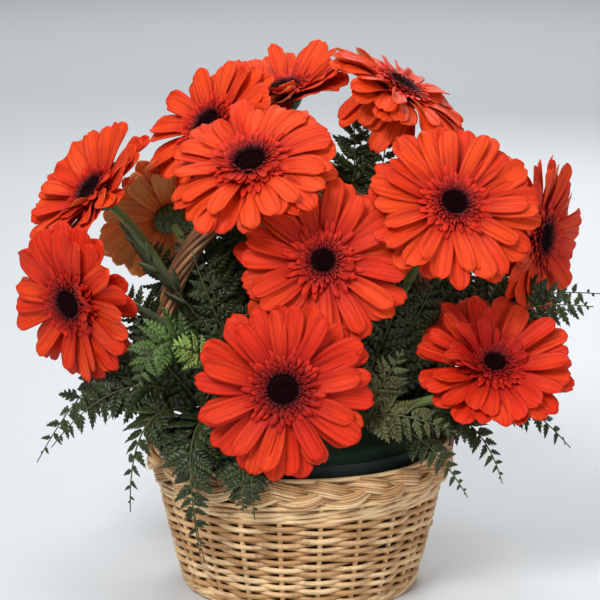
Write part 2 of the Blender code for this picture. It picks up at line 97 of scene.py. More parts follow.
def add_poles(made, ends, rows, sides):
    """Close both ends of open tubes with fans of triangles round their two end points."""
    count, first = len(ends), len(made["points"])
    start = np.arange(count)[:, None] * rows * sides
    here = np.arange(sides)[None]
    beside = (here + 1) % sides
    low_pole = np.broadcast_to(first + np.arange(count)[:, None], (count, sides))
    top = start + (rows - 1) * sides
    low = np.stack([low_pole, start + beside, start + here], -1)
    high = np.stack([low_pole + count, top + here, top + beside], -1)
    fans = np.concatenate([low.reshape(-1, 3), high.reshape(-1, 3)])
    made["points"] = np.concatenate([made["points"], ends[:, 0], ends[:, -1]])
    made["faces"].append(fans)
    made["uvs"].append(np.full((len(fans), 3, 2), 0.5))
    for key in ("tone", "reach"):
        grid = made[key].reshape(count, rows, sides)
        made[key] = np.concatenate([made[key], grid[:, 0, 0], grid[:, -1, 0]])


# %% [markdown]
# A rod is a circle carried along a path, and a turned body is a circle that changes its
# size up an axis. Both are tubes: an open one is closed at each end by a fan of triangles
# round a pole, and a rod that goes round the basket meets itself.


# %% Rods and turned bodies
def full_turn(count):
    """Angles of count points spread evenly round a full turn."""
    return np.arange(count) * math.tau / count


def unit(vectors):
    """Vectors divided by their own length."""
    return vectors / np.linalg.norm(vectors, axis=-1, keepdims=True)


def square_to(way, other):
    """The part of the other direction that is square to the way, made unit."""
    return unit(other - way * np.sum(other * way, -1, keepdims=True))


def along_path(paths, closed=False):
    """Unit direction of each path at each of its points, from the points on either side."""
    if closed:
        return unit(np.roll(paths, -1, axis=1) - np.roll(paths, 1, axis=1))
    return unit(np.gradient(paths, axis=1))


def rods(paths, radii, sides, lead, tone=0.5, closed=False):
    """Round rods: at each point of a path a circle square to the path. Its first spoke is
    the lead direction with its share along the path taken away."""
    ahead = along_path(paths, closed)
    spoke = square_to(ahead, np.asarray(lead, dtype=float))
    turn = full_turn(sides)[:, None]
    circle = np.cos(turn) * spoke[:, :, None] + np.sin(turn) * np.cross(ahead, spoke)[:, :, None]
    radii = np.broadcast_to(radii, paths.shape[:2])[:, :, None, None]
    made = gridded(paths[:, :, None] + radii * circle, tone, tube=True, ring=closed)
    if not closed:
        add_poles(made, paths, paths.shape[1], sides)
    return made


def ring_paths(radius, height):
    """Closed paths round the axis from a radius and a height at every point."""
    turn = full_turn(radius.shape[1])
    return np.stack([radius * np.cos(turn), radius * np.sin(turn), height], -1)


def rings(radius, height, size, sides, tone):
    """Closed rods round the axis."""
    return rods(ring_paths(radius, height), size, sides, UP, tone, closed=True)


def turned(profile, sides):
    """A body of revolution about Z from (radius, height) pairs that run from the axis at
    the bottom, outwards and up, back to the axis."""
    profile = np.asarray(profile, dtype=float)
    radius, height = np.repeat(profile[1:-1].T[:, :, None], sides, 2)
    made = gridded(ring_paths(radius, height)[None], tube=True)
    add_poles(made, profile[[0, -1], 1][None, :, None] * UP, len(profile) - 2, sides)
    return made


# %% [markdown]
# ## One way to make a piece
# A piece is one mesh, whatever the number of grids in it. Here the grids are joined, put
# into a mesh with their UVs and two values per point: `tone`, which differs from one
# petal or rod to the next, and `reach`, which says how far out on a flower a point is.
# Then the piece is hung under the empty that carries it, and the plain solid it replaces
# is hidden.


# %% Turn grids into a piece
def add_object(name, data):
    """A new object at the origin that shows the data."""
    made = bpy.data.objects.new(name, data)
    bpy.context.collection.objects.link(made)
    return made


def piece(name, node, grids, finishes, thickness=0.0):
    """A thickness in millimetres grows away from the upper side, and a second finish then
    covers that under side. A grid may say which finish its quads have; all others have the
    first."""
    starts = np.cumsum([0] + [len(grid["points"]) for grid in grids])
    faces, uvs, finish_numbers = [], [], []
    for start, grid in zip(starts, grids):
        number = grid.get("finish", 0)
        for corners, places in zip(grid["faces"], grid["uvs"]):
            faces += (corners + start).tolist()
            uvs.append(places.reshape(-1, 2))
            fits = np.ndim(number) and len(number) == len(corners)
            finish_numbers.append(number if fits else np.full(len(corners), np.min(number)))
    mesh = bpy.data.meshes.new(name)
    points = np.concatenate([grid["points"] for grid in grids])
    mesh.from_pydata((points * MM).tolist(), [], faces)
    mesh.uv_layers.new(name="UVMap").data.foreach_set("uv", np.concatenate(uvs).ravel())
    for key in ("tone", "reach"):
        values = np.concatenate([grid[key] for grid in grids])
        mesh.attributes.new(key, "FLOAT", "POINT").data.foreach_set("value", values)
    mesh.polygons.foreach_set("use_smooth", [True] * len(mesh.polygons))
    mesh.polygons.foreach_set("material_index", np.concatenate(finish_numbers))
    for finish in finishes:
        mesh.materials.append(finish.material)
    made = add_object(name, mesh)
    if thickness:
        wall = made.modifiers.new("thickness", "SOLIDIFY")
        wall.thickness = thickness * MM
        wall.offset = -1.0
        wall.material_offset = len(finishes) - 1
    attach(made, "root")
    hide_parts(node)
    return made


# %% [markdown]
# ## Shader arithmetic written as Python
# A procedural finish is mostly arithmetic on textures. Wrapping a socket in a small class
# that knows `+ - *` lets the finish be read as a formula, and each operation quietly
# adds one Math node. Colours go through Mix nodes, because a Math node would turn them
# grey, and everything else is added by one general method.


# %% A socket that can be reckoned with
class Value:
    """An output socket of a finish."""

    def __init__(self, finish, socket):
        self.finish = finish
        self.socket = socket

    def math(self, operation, *other):
        """The value put through a Math node, alone or with another value."""
        inputs = dict(enumerate((self, *other)))
        return self.finish.add("Math", {"operation": operation}, inputs)

    def __add__(self, other):
        return self.math("ADD", other)

    def __sub__(self, other):
        return self.math("SUBTRACT", other)

    def __mul__(self, other):
        return self.math("MULTIPLY", other)


def paint(colour):
    """A colour read off a screen, 0 to 255, as the linear colour that shaders want."""
    screen = np.array(colour) / 255.0
    linear = np.where(screen < 0.04045, screen / 12.92, ((screen + 0.055) / 1.055) ** 2.4)
    return (*linear.tolist(), 1.0)


class Finish:
    """One Principled material and the nodes that feed it. Colours are screen triples."""

    def __init__(self, name, roughness, gloss=0.5):
        self.material = bpy.data.materials.new(name)
        self.material.use_nodes = True
        self.nodes = self.material.node_tree.nodes
        self.shader = self.nodes["Principled BSDF"]
        self.shader.inputs["Roughness"].default_value = roughness
        self.shader.inputs["Specular IOR Level"].default_value = gloss

    def plug(self, socket, value):
        if isinstance(value, Value):
            self.material.node_tree.links.new(value.socket, socket)
        else:
            socket.default_value = paint(value) if isinstance(value, tuple) else value

    def add(self, kind, settings, inputs, output=0):
        """Add any node: its settings first, then numbers or links for its sockets."""
        node = self.nodes.new("ShaderNode" + kind)
        for key, value in settings.items():
            setattr(node, key, value)
        for key, value in inputs.items():
            self.plug(node.inputs[key], value)
        return Value(self, node.outputs[output])

    def attribute(self, name):
        return self.add("Attribute", {"attribute_name": name}, {}, "Fac")

    def uv(self):
        """Across and along, from the piece's own UV map."""
        place = self.add("UVMap", {"uv_map": "UVMap"}, {})
        return [self.add("SeparateXYZ", {}, {0: place}, axis) for axis in "XY"]

    def noise(self, scale, place=None, detail=3.0):
        """Fine cloudy texture from 0 to 1 on Object coordinates, or on a given place."""
        if place is None:
            place = self.add("TexCoord", {}, {}, "Object")
        return self.add("TexNoise", {}, {"Vector": place, "Scale": scale, "Detail": detail},
                        "Fac")

    def grain(self, across, along, apart, detail=3.0):
        """Noise on a place made of three values that are already stretched. The third sets
        neighbours apart."""
        place = self.add("CombineXYZ", {}, {0: across, 1: along, 2: apart})
        return self.noise(1.0, place, detail)

    def between(self, value, low, high):
        """0 below low, 1 above high, and smooth in between."""
        return self.add("MapRange", {"interpolation_type": "SMOOTHSTEP"},
                        {"Value": value, "From Min": low, "From Max": high})

    def mix(self, share, first, second):
        """Colour from first to second as the share goes from 0 to 1."""
        return self.add("Mix", {"data_type": "RGBA"}, {"Factor": share, 6: first, 7: second}, 2)

    def colour(self, value):
        self.plug(self.shader.inputs["Base Color"], value)

    def rough(self, value):
        self.plug(self.shader.inputs["Roughness"], value)

    def bump(self, height, strength, distance):
        """Raise the surface by height times distance, in metres."""
        self.plug(self.shader.inputs["Normal"], self.add(
            "Bump", {}, {"Height": height, "Strength": strength, "Distance": distance}))


# %% [markdown]
# ## Willow
# Peeled willow is pale straw to honey, each rod a little different, with grain and faint
# stains that run along the rod. The grain is noise whose place is stretched: quick across
# the rod and slow along it. `tone` moves each rod between three colours, and the grain
# also lifts a slight bump. The handle's rods are the same wood in darker browns, painted
# shade for the shadow that lies on the handle.


# %% Finishes of the willow and of the handle
def rod_finish(name, pale, middle, deep, along_scale):
    finish = Finish(name, 0.45)
    across, along = finish.uv()
    tone = finish.attribute("tone")
    grain = finish.grain(across * 9.0, along * along_scale, tone * 37.0, 4.0)
    stain = finish.noise(60.0)
    colour = finish.mix(finish.between(tone + stain * 0.5, 0.4, 1.2), pale, middle)
    darkness = finish.between(grain + stain, 0.95, 1.45)
    finish.colour(finish.mix(darkness * 0.75, colour, deep))
    finish.rough(grain * 0.25 + 0.33)
    finish.bump(grain, 0.35, 0.0004)
    return finish


willow = rod_finish("willow_peeled", (240, 204, 154), (194, 146, 94), (92, 52, 26), 90.0)
# The handle's darker browns are painted shade.
shaded_willow = rod_finish("handle_rod_painted_shade", (182, 132, 88), (118, 74, 46), (54, 30, 18), 24.0)
print("willow finishes:", willow.material.name, shaded_willow.material.name)

# %% [markdown]
# ## The woven wall
# Twenty-two upright stakes carry the weave. A weaver passes in front of one stake and
# behind the next, and the row above does the opposite, so its distance from the axis
# swings like a cosine that has half as many waves as there are stakes. The radius of the
# wall itself follows the same power law as the plain solid.

# %% Named sizes of the basket
STAKES = 22
BASE_RADIUS, WALL_FLARE, RIM_HEIGHT = 74.0, 22.8, 95.0
WALL_TOP, WALING_HEIGHT, FIRST_ROW = 71.0, 12.0, 7.6
WEAVER_RADIUS, STAKE_RADIUS = 1.62, 1.7
ROW_PITCH, WEAVE_SWING, WALL_INSET = 2.9, 2.6, 2.8
RING_POINTS = 154
ring_turn = full_turn(RING_POINTS)


def wall_radius(height):
    """Base radius plus the flare times the share of the height to the power 0.8."""
    return BASE_RADIUS + WALL_FLARE * (np.maximum(height, 0.0) / RIM_HEIGHT) ** 0.8


def soft_wave(count, waves, points=RING_POINTS):
    """A smooth random wobble for each of count rings: a few slow sines of random phase."""
    numbers = np.arange(1, waves + 1)[None, :, None]
    size = chance.normal(0.0, 1.0, (count, waves, 1)) / np.sqrt(waves)
    phase = chance.uniform(0.0, math.tau, (count, waves, 1))
    return np.sum(size * np.sin(numbers * full_turn(points) + phase), axis=1)


print("wall radius", wall_radius(0.0), "mm at the foot and",
      wall_radius(WALL_TOP).round(1), "mm at the top of the weave")

# %% [markdown]
# Each row of the weave is one closed rod. Slow random waves move its height, its swing and
# its thickness a little, as in a basket made by hand.

# %% Weave the rows between the stakes
row_count = int((WALL_TOP - WALING_HEIGHT) / ROW_PITCH)
row_number = np.arange(row_count)[:, None]
row_height = FIRST_ROW + ROW_PITCH * row_number + 0.22 * soft_wave(row_count, 9)
swing = np.cos(STAKES / 2 * ring_turn + math.pi * row_number)
swing_size = WEAVE_SWING * (1.0 + 0.12 * soft_wave(row_count, 12))
row_radius = wall_radius(row_height) - WALL_INSET + swing * swing_size
weaver_size = WEAVER_RADIUS * (1.0 + 0.08 * soft_wave(row_count, 5))
weaver_tone = chance.uniform(0.0, 1.0, (row_count, 1)) + 0.22 * soft_wave(row_count, 6)
weave = rings(row_radius, row_height, weaver_size, 7, weaver_tone)
print("weavers", row_count, "rows from", row_height.min().round(1), "to",
      row_height.max().round(1), "mm")

# %% [markdown]
# ### Stakes
# The stakes are straight rods that follow the flare of the wall. They stand a little
# further out than its middle, so that they show as ribs between the weavers.

# %% Stand up the stakes
STAKE_FOOT, STAKE_TOP, STAKE_OUT = 1.5, 80.0, 0.7
stake_height = np.linspace(STAKE_FOOT, STAKE_TOP, 28)[:, None].repeat(STAKES, 1)
stake_radius = wall_radius(stake_height) - WALL_INSET + STAKE_OUT
stake_paths = ring_paths(stake_radius, stake_height).swapaxes(0, 1)
stakes = rods(stake_paths, STAKE_RADIUS, 8, (0, -1, 0.2),
              tone=chance.uniform(0.1, 0.7, (STAKES, 1)))
print("stakes", STAKES, "up to", STAKE_TOP, "mm")

# %% [markdown]
# ## Waling and foot
# Above and below the plain weave run three rods that twist round each other like a rope,
# each passing outside two stakes and inside one. Their radius and their height swing
# together, a third of a turn apart, which draws long slanting rods round the basket.


# %% Twist three rods round the wall
def wale(height, inset, size, swing_out, swing_up, waves, spread=0.0):
    """Three rods a third of a turn apart on one twisted ring of the given height."""
    phase = waves * ring_turn + full_turn(3)[:, None]
    up = height + swing_up * np.sin(phase) + spread * soft_wave(3, 5)
    out = wall_radius(np.full_like(up, height)) - inset + swing_out * np.cos(phase)
    tone = chance.uniform(0.1, 0.8, (3, 1)) + 0.2 * soft_wave(3, 4)
    return rings(out, up, size, 8, tone)


wales = [wale(69.2, 2.2, 1.6, 1.7, 1.5, 7, 0.1), wale(65.6, 2.4, 1.5, 1.6, 1.2, 7, 0.1),
         wale(4.6, 1.6, 1.7, 1.6, 1.4, 11, 0.1), wale(2.2, 0.9, 1.7, 1.2, 0.4, 11)]
print("rings of waling:", len(wales))

# %% [markdown]
# ## The underside
# A round base is woven like the wall, but flat: rods go round and round between sticks
# that cross in the middle, under one stick and over the next. It is seen only when the
# basket is lifted, yet it is made, because a part is looked at from every side.

# %% Weave the base
BASE_MIDDLE, BASE_SWING, BASE_PITCH = 3.4, 1.2, 3.1
BASE_INNER, BASE_OUTER, STICK_REACH = 15.0, 71.0, 72.0
base_radii = np.arange(BASE_INNER, BASE_OUTER, BASE_PITCH)[:, None]
base_rows = len(base_radii)
base_swing = np.cos(STAKES / 2 * ring_turn[None, ::2] + math.pi * np.arange(base_rows)[:, None])
base_weave = rings(np.broadcast_to(base_radii, base_swing.shape),
                   BASE_MIDDLE + BASE_SWING * base_swing, 1.6, 5,
                   chance.uniform(0.2, 0.9, (base_rows, 1)))
stick_way = full_turn(STAKES)[: STAKES // 2]
stick_end = np.stack([np.cos(stick_way), np.sin(stick_way), 0.0 * stick_way], -1)[:, None]
stick_paths = stick_end * np.linspace(-1.0, 1.0, 12)[:, None] * STICK_REACH + UP * BASE_MIDDLE
sticks = rods(stick_paths, 1.5, 6, UP, tone=0.7)
centre_radii = np.array([[5.0], [8.2], [11.4]]).repeat(RING_POINTS, 1)
centre = rings(centre_radii, np.full_like(centre_radii, 2.0), 1.6, 6, 0.4)
basket = piece("basket_weave", "basket_body",
               [weave, stakes, *wales, base_weave, sticks, centre], [willow])
print("basket weave:", len(basket.data.polygons), "faces")

# %% [markdown]
# ## The plaited border
# The stakes' ends are bent down and plaited round the rim. A three-strand plait is two
# waves: each strand swings up and down once while it swings in and out twice, and the
# strands are a third of a wave apart. Every strand is a bundle of six thin rods, and
# the bundle's rods lie side by side across the strand.

# %% Plait the rim
BORDER_RADIUS, BORDER_MIDDLE, BORDER_POINTS = 94.8, 83.2, 196
BORDER_WAVES, STRANDS, STRAND_RODS = 7, 3, 6
PLAIT_UP, PLAIT_OUT, PLAIT_SPACING, PLAIT_ROD = 5.1, 3.5, 1.62, 0.94
plait_rods = STRANDS * STRAND_RODS
strand = np.repeat(np.arange(STRANDS), STRAND_RODS)[:, None]
which = np.tile(np.arange(STRAND_RODS), STRANDS)[:, None] - (STRAND_RODS - 1) / 2
phase = BORDER_WAVES * full_turn(BORDER_POINTS) + strand * math.tau / STRANDS
wander = 0.42 * soft_wave(plait_rods, 14, BORDER_POINTS)
border_height = BORDER_MIDDLE + PLAIT_UP * np.cos(phase) + which * PLAIT_SPACING + wander
border_out = (BORDER_RADIUS + PLAIT_OUT * np.sin(2.0 * phase) - 0.12 * which ** 2
              + 0.5 * wander)
border_size = PLAIT_ROD * (1.0 + 0.10 * soft_wave(plait_rods, 5, BORDER_POINTS))
border_tone = (chance.uniform(0.35, 1.5, (plait_rods, 1))
               + 0.2 * soft_wave(plait_rods, 8, BORDER_POINTS))
plait = rings(border_out, border_height, border_size, 6, border_tone)
edge_height = BORDER_MIDDLE + np.array([[8.6], [-9.4]]) + 0.4 * soft_wave(2, 6, BORDER_POINTS)
edge_out = BORDER_RADIUS + np.array([[-0.6], [-1.2]]) + 0.4 * soft_wave(2, 6, BORDER_POINTS)
edges = rings(edge_out, edge_height, 1.4, 8, 0.5)
piece("border_plait", "basket_border", [plait, edges], [willow])
print("plait of", plait_rods, "rods,", np.ptp(border_height).round(1), "mm high")

# %% [markdown]
# ## The handle
# The arch is a flattened half circle, a curve of the kind called a superellipse, that
# leans back a little. Nine rods wind round it. Near the feet they grow thinner and draw
# together to pass down through the plait.

# %% Wind the handle's rods
HANDLE_SPAN, HANDLE_PEAK, HANDLE_LEAN, HANDLE_SQUARENESS = 95.0, 252.0, 10.0, 2.35
HANDLE_RODS, HANDLE_TURNS, HANDLE_POINTS = 9, 3.0, 140
# At the feet, and how much more where the rods stand open
WIND_FOOT, WIND_MORE, ROD_FOOT, ROD_MORE = 2.7, 2.4, 0.98, 0.86
FOOT_DEPTH, DRAWN_IN, OPENS_OVER = 20.0, 10.0, 22.0


def arch(share):
    """Middle line of the handle for a share from 0, the left foot, to 1, the right."""
    angle = math.pi * (1.0 - share)
    power = 2.0 / HANDLE_SQUARENESS
    x = HANDLE_SPAN * np.sign(np.cos(angle)) * np.abs(np.cos(angle)) ** power
    rise = np.abs(np.sin(angle)) ** power
    return np.stack([x, HANDLE_LEAN * rise, RIM_HEIGHT + (HANDLE_PEAK - RIM_HEIGHT) * rise], -1)


foot = np.linspace(FOOT_DEPTH, 2.0, 8)[:, None] * -UP
arch_line = arch((1.0 - np.cos(np.linspace(0.0, math.pi, HANDLE_POINTS))) / 2.0)
arch_line = np.concatenate([arch_line[:1] + foot, arch_line, arch_line[-1:] + foot[::-1]])
arch_steps = np.linalg.norm(np.diff(arch_line, axis=0), axis=1)
arch_length = np.concatenate([[0.0], np.cumsum(arch_steps)])
from_foot = np.minimum(arch_length, arch_length[-1] - arch_length)
opened = np.clip((from_foot - DRAWN_IN) / OPENS_OVER, 0.0, 1.0)
arch_ahead = along_path(arch_line[None])[0]
arch_spoke = square_to(arch_ahead, np.array([0.0, -1.0, 0.0]))
arch_other = np.cross(arch_ahead, arch_spoke)
rod_share = np.arange(HANDLE_RODS)[:, None] / HANDLE_RODS
wind = math.tau * (rod_share + HANDLE_TURNS * (arch_length / arch_length[-1]))
wind_radius = (WIND_FOOT + WIND_MORE * opened)[:, None]
handle_paths = arch_line + wind_radius * (np.cos(wind)[..., None] * arch_spoke
                                          + np.sin(wind)[..., None] * arch_other)
handle_rods = rods(handle_paths, ROD_FOOT + ROD_MORE * opened, 7, (0, -1, 0),
                   tone=chance.uniform(0.0, 1.0, (HANDLE_RODS, 1)))
piece("handle_twist", "handle", [handle_rods], [shaded_willow])
print("handle", round(arch_length[-1]), "mm of rod along its middle line")

# %% [markdown]
# ## Liner and foam
# The green plastic liner keeps the basket dry, and a block of wet floral foam in it holds
# the stems. Both are turned profiles. The liner is smooth and almost black in the shade;
# the foam is matt with a fine open grain, made by noise at two scales.

# %% Turn the liner and the foam
LINER_WALL, LINER_LOW, LINER_TOP = 1.2, 5.3, 99.0
SHOULDER, FOAM_TOP = 92.0, 104.0
FLOOR, WALL_TO_LINER = 5.0, 6.6


def liner_radius(height):
    """Straight line between the wall's inner radius at the floor and at the weave's top."""
    low, high = wall_radius(FLOOR) - WALL_TO_LINER, wall_radius(WALL_TOP) - WALL_TO_LINER
    return low + (high - low) * (np.minimum(height, WALL_TOP) - FLOOR) / (WALL_TOP - FLOOR)


low_r, top_r = float(liner_radius(LINER_LOW)), float(liner_radius(WALL_TOP))
liner_profile = [(0, LINER_LOW), (low_r - 1.0, LINER_LOW), (low_r, LINER_LOW + 1.0),
                 (top_r, WALL_TOP), (top_r + 0.6, LINER_TOP - 0.8), (top_r + 0.2, LINER_TOP),
                 (top_r - 0.3, LINER_TOP), (top_r - 0.6, LINER_TOP - 0.8),
                 (top_r - LINER_WALL, WALL_TOP), (low_r - LINER_WALL, LINER_LOW + 2.2),
                 (low_r - LINER_WALL - 1.0, LINER_LOW + 1.2), (0, LINER_LOW + 1.2)]
liner_skin = Finish("liner_green_plastic", 0.4, 0.25)
ripple = liner_skin.noise(45.0)
liner_skin.colour(liner_skin.mix(ripple, (6, 25, 21), (9, 40, 33)))
liner_skin.rough(ripple * 0.2 + 0.34)
liner_skin.bump(ripple, 0.3, 0.0008)
piece("liner_tub", "liner", [turned(liner_profile, 128)], [liner_skin])

foam_skin = Finish("foam_green", 0.95)
cells, lumps = foam_skin.noise(1400.0, None, 2.0), foam_skin.noise(90.0)
foam_skin.colour(foam_skin.mix(cells, (20, 46, 30), (38, 70, 44)))
foam_skin.bump(cells * 0.5 + lumps, 0.6, 0.0012)
foam_low = LINER_LOW + LINER_WALL + 0.4
foam_r = top_r - LINER_WALL - 0.6
foam_profile = [(0, foam_low), (low_r - 3.0, foam_low), (low_r - 1.9, foam_low + 1.5),
                (foam_r, WALL_TOP), (foam_r, SHOULDER - 1.5), (foam_r - 1.6, SHOULDER + 0.6),
                (78.5, FOAM_TOP - 1.8), (75.0, FOAM_TOP), (40.0, FOAM_TOP), (0, FOAM_TOP)]
piece("foam_block", "foam", [turned(foam_profile, 96)], [foam_skin])
print("liner up to", LINER_TOP, "mm and foam up to", FOAM_TOP, "mm")

# %% [markdown]
# ## A table of heads
# Each row holds the middle of a flower's eye, where it faces (azimuth and elevation in
# degrees, azimuth 0 being the front), its radius, how far its rays cup upwards, how far
# they droop towards the tip, and where its stem leaves the foam. These are the same
# numbers as the plain solids have, so every flower stays where its solid is.

# %% Where the heads stand
Bloom = namedtuple("Bloom", "eye azimuth elevation radius cup droop mouth")
BLOOMS = [Bloom(*row) for row in (
    ((-143, -30, 188), -39, -5, 51, 10, 16, (-42, -20)),
    ((-132, 12, 252), -58, 40, 50, 20, 8, (-44, 2)),
    ((-58, 29, 292), -48, 39, 50, 12, 14, (-22, 16)),
    ((-10, 72, 309), -45, 73, 50, 26, 6, (-4, 42)),
    ((-30, -38, 278), -19, 52, 55, 8, 26, (-18, -12)),
    ((65, 32, 316), 72, 58, 52, 6, 26, (22, 20)),
    ((94, -46, 254), 13, 34, 54, 8, 14, (30, -14)),
    ((14, -62, 221), 0, 26, 54, 8, 12, (4, -26)),
    ((154, 8, 223), 59, -1, 52, 12, 14, (46, 20)),
    ((-10, -100, 151), 0, 14, 54, 6, 12, (-6, -50)),
    ((120, -50, 154), 6, 50, 51, 18, 10, (50, -26)),
    ((-89, 62, 228), -151, 24, 48, 10, 12, (-32, 38)),
)]


def head_axes(bloom):
    """Rows: level to the flower's right, upwards in its face, and straight out of it."""
    a, e = math.radians(bloom.azimuth), math.radians(bloom.elevation)
    out = np.array([math.cos(e) * math.sin(a), -math.cos(e) * math.cos(a), math.sin(e)])
    level = np.array([math.cos(a), math.sin(a), 0.0])
    return np.stack([level, np.cross(out, level), out])


print("heads:", len(BLOOMS), "the highest eye at", max(bloom.eye[2] for bloom in BLOOMS), "mm")

# %% [markdown]
# ## The shape of a ray petal
# A gerbera's ray is a long strap with a rounded tip, two grooves along it and a slight
# channel. Down its length the slope starts at a rise and then bends over by a droop; the
# running sums of cosine and sine of that slope give how far out and how high each point
# is. Across it, the width swells and then rounds off, and the tip is cut back towards
# its corners. All the rays of a ring are worked out in one array.

# %% Rings of petals
# Shares of a petal's length: where it bends, is widest, and rounds off to its tip
BEND_AT, WIDEST_AT, ROUND_FROM, ROUND_LENGTH = 0.35, 0.74, 0.82, 0.18
# Shares of its half width: the notch in the tip, and the two grooves
NOTCH_WIDTH, GROOVE_AT, GROOVE_WIDTH = 0.3, 0.42, 0.13
RAY_ACROSS = np.array([-1.0, -0.8, -0.58, -0.4, 0.0, 0.4, 0.58, 0.8, 1.0])
FLORET_ACROSS = np.array([-1.0, 0.0, 1.0])


def smooth_step(values):
    """0 up to 0, 1 from 1, and three times the square less twice the cube between."""
    values = np.clip(values, 0.0, 1.0)
    return values * values * (3.0 - 2.0 * values)


def vary(middle, spread, count):
    """One value for each petal, shaped to act on whole petals."""
    return middle + spread * chance.uniform(-1.0, 1.0, (count, 1, 1))


def swung(radial, sideways, height, angles):
    """Points some way out and sideways, swung round the axis by each grid's own angle."""
    angle = np.asarray(angles).reshape(-1, 1, 1)
    return np.stack([radial * np.cos(angle) - sideways * np.sin(angle),
                     radial * np.sin(angle) + sideways * np.cos(angle),
                     height + 0.0 * radial], -1)


def petal_ring(angles, start, length, width, height, rise, droop, rows, across, neck,
               roll, sway, channel, groove=0.0, wave=0.0, tip=0.56):
    """Petals round the axis in the head's own axes, shaped (petal, along, across, 3).

    Out and up are sums of cos and sin of (rise - droop * smoothed share); the half width is
    width times a swelling sine times the rounding of the last third; the lift across is
    a channel that grows with the square of across, two grooves, a roll and a slow wave.
    """
    count = len(angles)
    even = np.linspace(0.0, 1.0, rows)
    share = (even * (1.5 - 0.5 * even))[None, :, None]
    v = across
    slope = rise - droop * smooth_step((share - BEND_AT) / (1.0 - BEND_AT))
    slope = np.broadcast_to(slope, (count, rows, 1))
    step = length * np.diff(share, axis=1)
    middle_slope = (slope[:, 1:] + slope[:, :-1]) / 2.0
    zero = np.zeros((count, 1, 1))
    out = np.concatenate([zero, np.cumsum(np.cos(middle_slope) * step, 1)], 1) + start
    up = np.concatenate([zero, np.cumsum(np.sin(middle_slope) * step, 1)], 1) + height
    swell = neck + (1.0 - neck) * np.sin(math.pi / 2 * np.clip(share / WIDEST_AT, 0.0, 1.0))
    rounding = np.sqrt(1.0 - (1.0 - tip ** 2)
                       * np.clip((share - ROUND_FROM) / ROUND_LENGTH, 0.0, 1.0) ** 2.2)
    half = width / 2.0 * swell * rounding
    notch = vary(0.02, 0.025, count) * np.exp(-(v / NOTCH_WIDTH) ** 2)
    cut = -length * (0.05 * np.abs(v) ** 2.2 + notch) * share ** 8
    sideways = v * half + sway * length * share ** 2
    bell = np.sin(math.pi * np.clip(share, 0.02, 0.98)) ** 0.5
    lift = channel * half * (v ** 2 - 0.3) * (1.0 - 0.5 * share)
    lift = lift - groove * np.exp(-((np.abs(v) - GROOVE_AT) / GROOVE_WIDTH) ** 2) * bell
    lift = lift + v * half * np.tan(roll)
    ripple_phase = chance.uniform(0.0, math.tau, (count, 1, 1))
    lift = lift + wave * share * np.sin(5.0 * share + 1.7 * v + ripple_phase)
    radial = out + cut * np.cos(slope) - lift * np.sin(slope)
    height_now = up + cut * np.sin(slope) + lift * np.cos(slope)
    return swung(radial, sideways, height_now, angles)


def even_angles(count, jitter, shift):
    """Angles spread evenly round the head, each moved a little."""
    spread = chance.uniform(-jitter, jitter, count)
    return (np.arange(count) + shift + spread) * math.tau / count


def set_in_place(points, bloom):
    """Turn points from the head's own axes to the basket's and move them to the eye."""
    return points @ head_axes(bloom) + np.array(bloom.eye, dtype=float)


def head_sheets(points, bloom, narrow=1.0):
    """Sheets of petals in place, with reach as radius over the head's radius, counted from
    further in where the eye is narrow. Each has its own tone, and heads that stand high get
    more of the warmer tone as painted light from above."""
    reach = np.linalg.norm(points[..., :2], axis=-1) / bloom.radius + 0.2 * (1.0 - narrow)
    # Painted light from above: heads that stand high get a larger share of the warmer, brighter
    # orange.
    painted_top_light = min(1.0, max(0.0, (bloom.eye[2] - 150.0) / 150.0))
    tone = 0.45 * painted_top_light + 0.55 * chance.uniform(0.0, 1.0, (len(points), 1, 1))
    return gridded(set_in_place(points, bloom), tone, reach)


print("points across a ray:", len(RAY_ACROSS), "and across a floret:", len(FLORET_ACROSS))

# %% [markdown]
# ## Colours of the petals
# The rays are orange-red, redder towards the eye, with fine darker lines along them; their
# grooves and long edges are darkened further as painted shade, and heads that stand high
# are made more orange as painted light from above. The same petals are paler on their
# backs, and the backs of the flower that faces away are paler still as painted light. The
# short florets pass from crimson to a purple so dark that it looks black next to the eye;
# each is darkened towards its base as painted shade, and its tip is lightened to a pinkish
# painted highlight.


# %% Petal finishes
def petal_finish(name, outer, warm_and_top_lit, inner, line):
    """Rays: inner colour by the eye, then outer to warm_and_top_lit by tone, with lines along
    them. Their grooves and long edges are mixed towards the line colour as painted shade.
    """
    finish = Finish(name, 0.6, 0.18)
    across, along = finish.uv()
    tone, reach = finish.attribute("tone"), finish.attribute("reach")
    streak = finish.grain(across * 14.0, along * 1.6, tone * 41.0)
    cloud = finish.grain(across * 2.0, along * 2.5, tone * 23.0, 2.0)
    off_middle = (across - 0.5).math("ABSOLUTE")
    off_groove = (off_middle - 0.21).math("ABSOLUTE")
    # Tone moves each ray towards the warmer colour at random, and on high heads as painted light
    # from above.
    face = finish.mix(finish.between(tone + cloud * 0.3, 0.2, 1.1), outer, warm_and_top_lit)
    body = finish.mix(finish.between(reach + tone * 0.16 + cloud * 0.3, 0.42, 0.92),
                      inner, face)
    # Painted shade: the two grooves and the long edges of each ray are darkened towards the line
    # colour.
    painted_crease_shade = (finish.between(off_groove, 0.13, 0.0) * 0.26
              + finish.between(off_middle, 0.36, 0.5) * 0.34)
    finish.colour(finish.mix(finish.between(streak, 0.44, 0.76) * 0.5 + painted_crease_shade, body, line))
    finish.rough(streak * 0.2 + 0.5)
    finish.bump(streak, 0.7, 0.0007)
    return finish


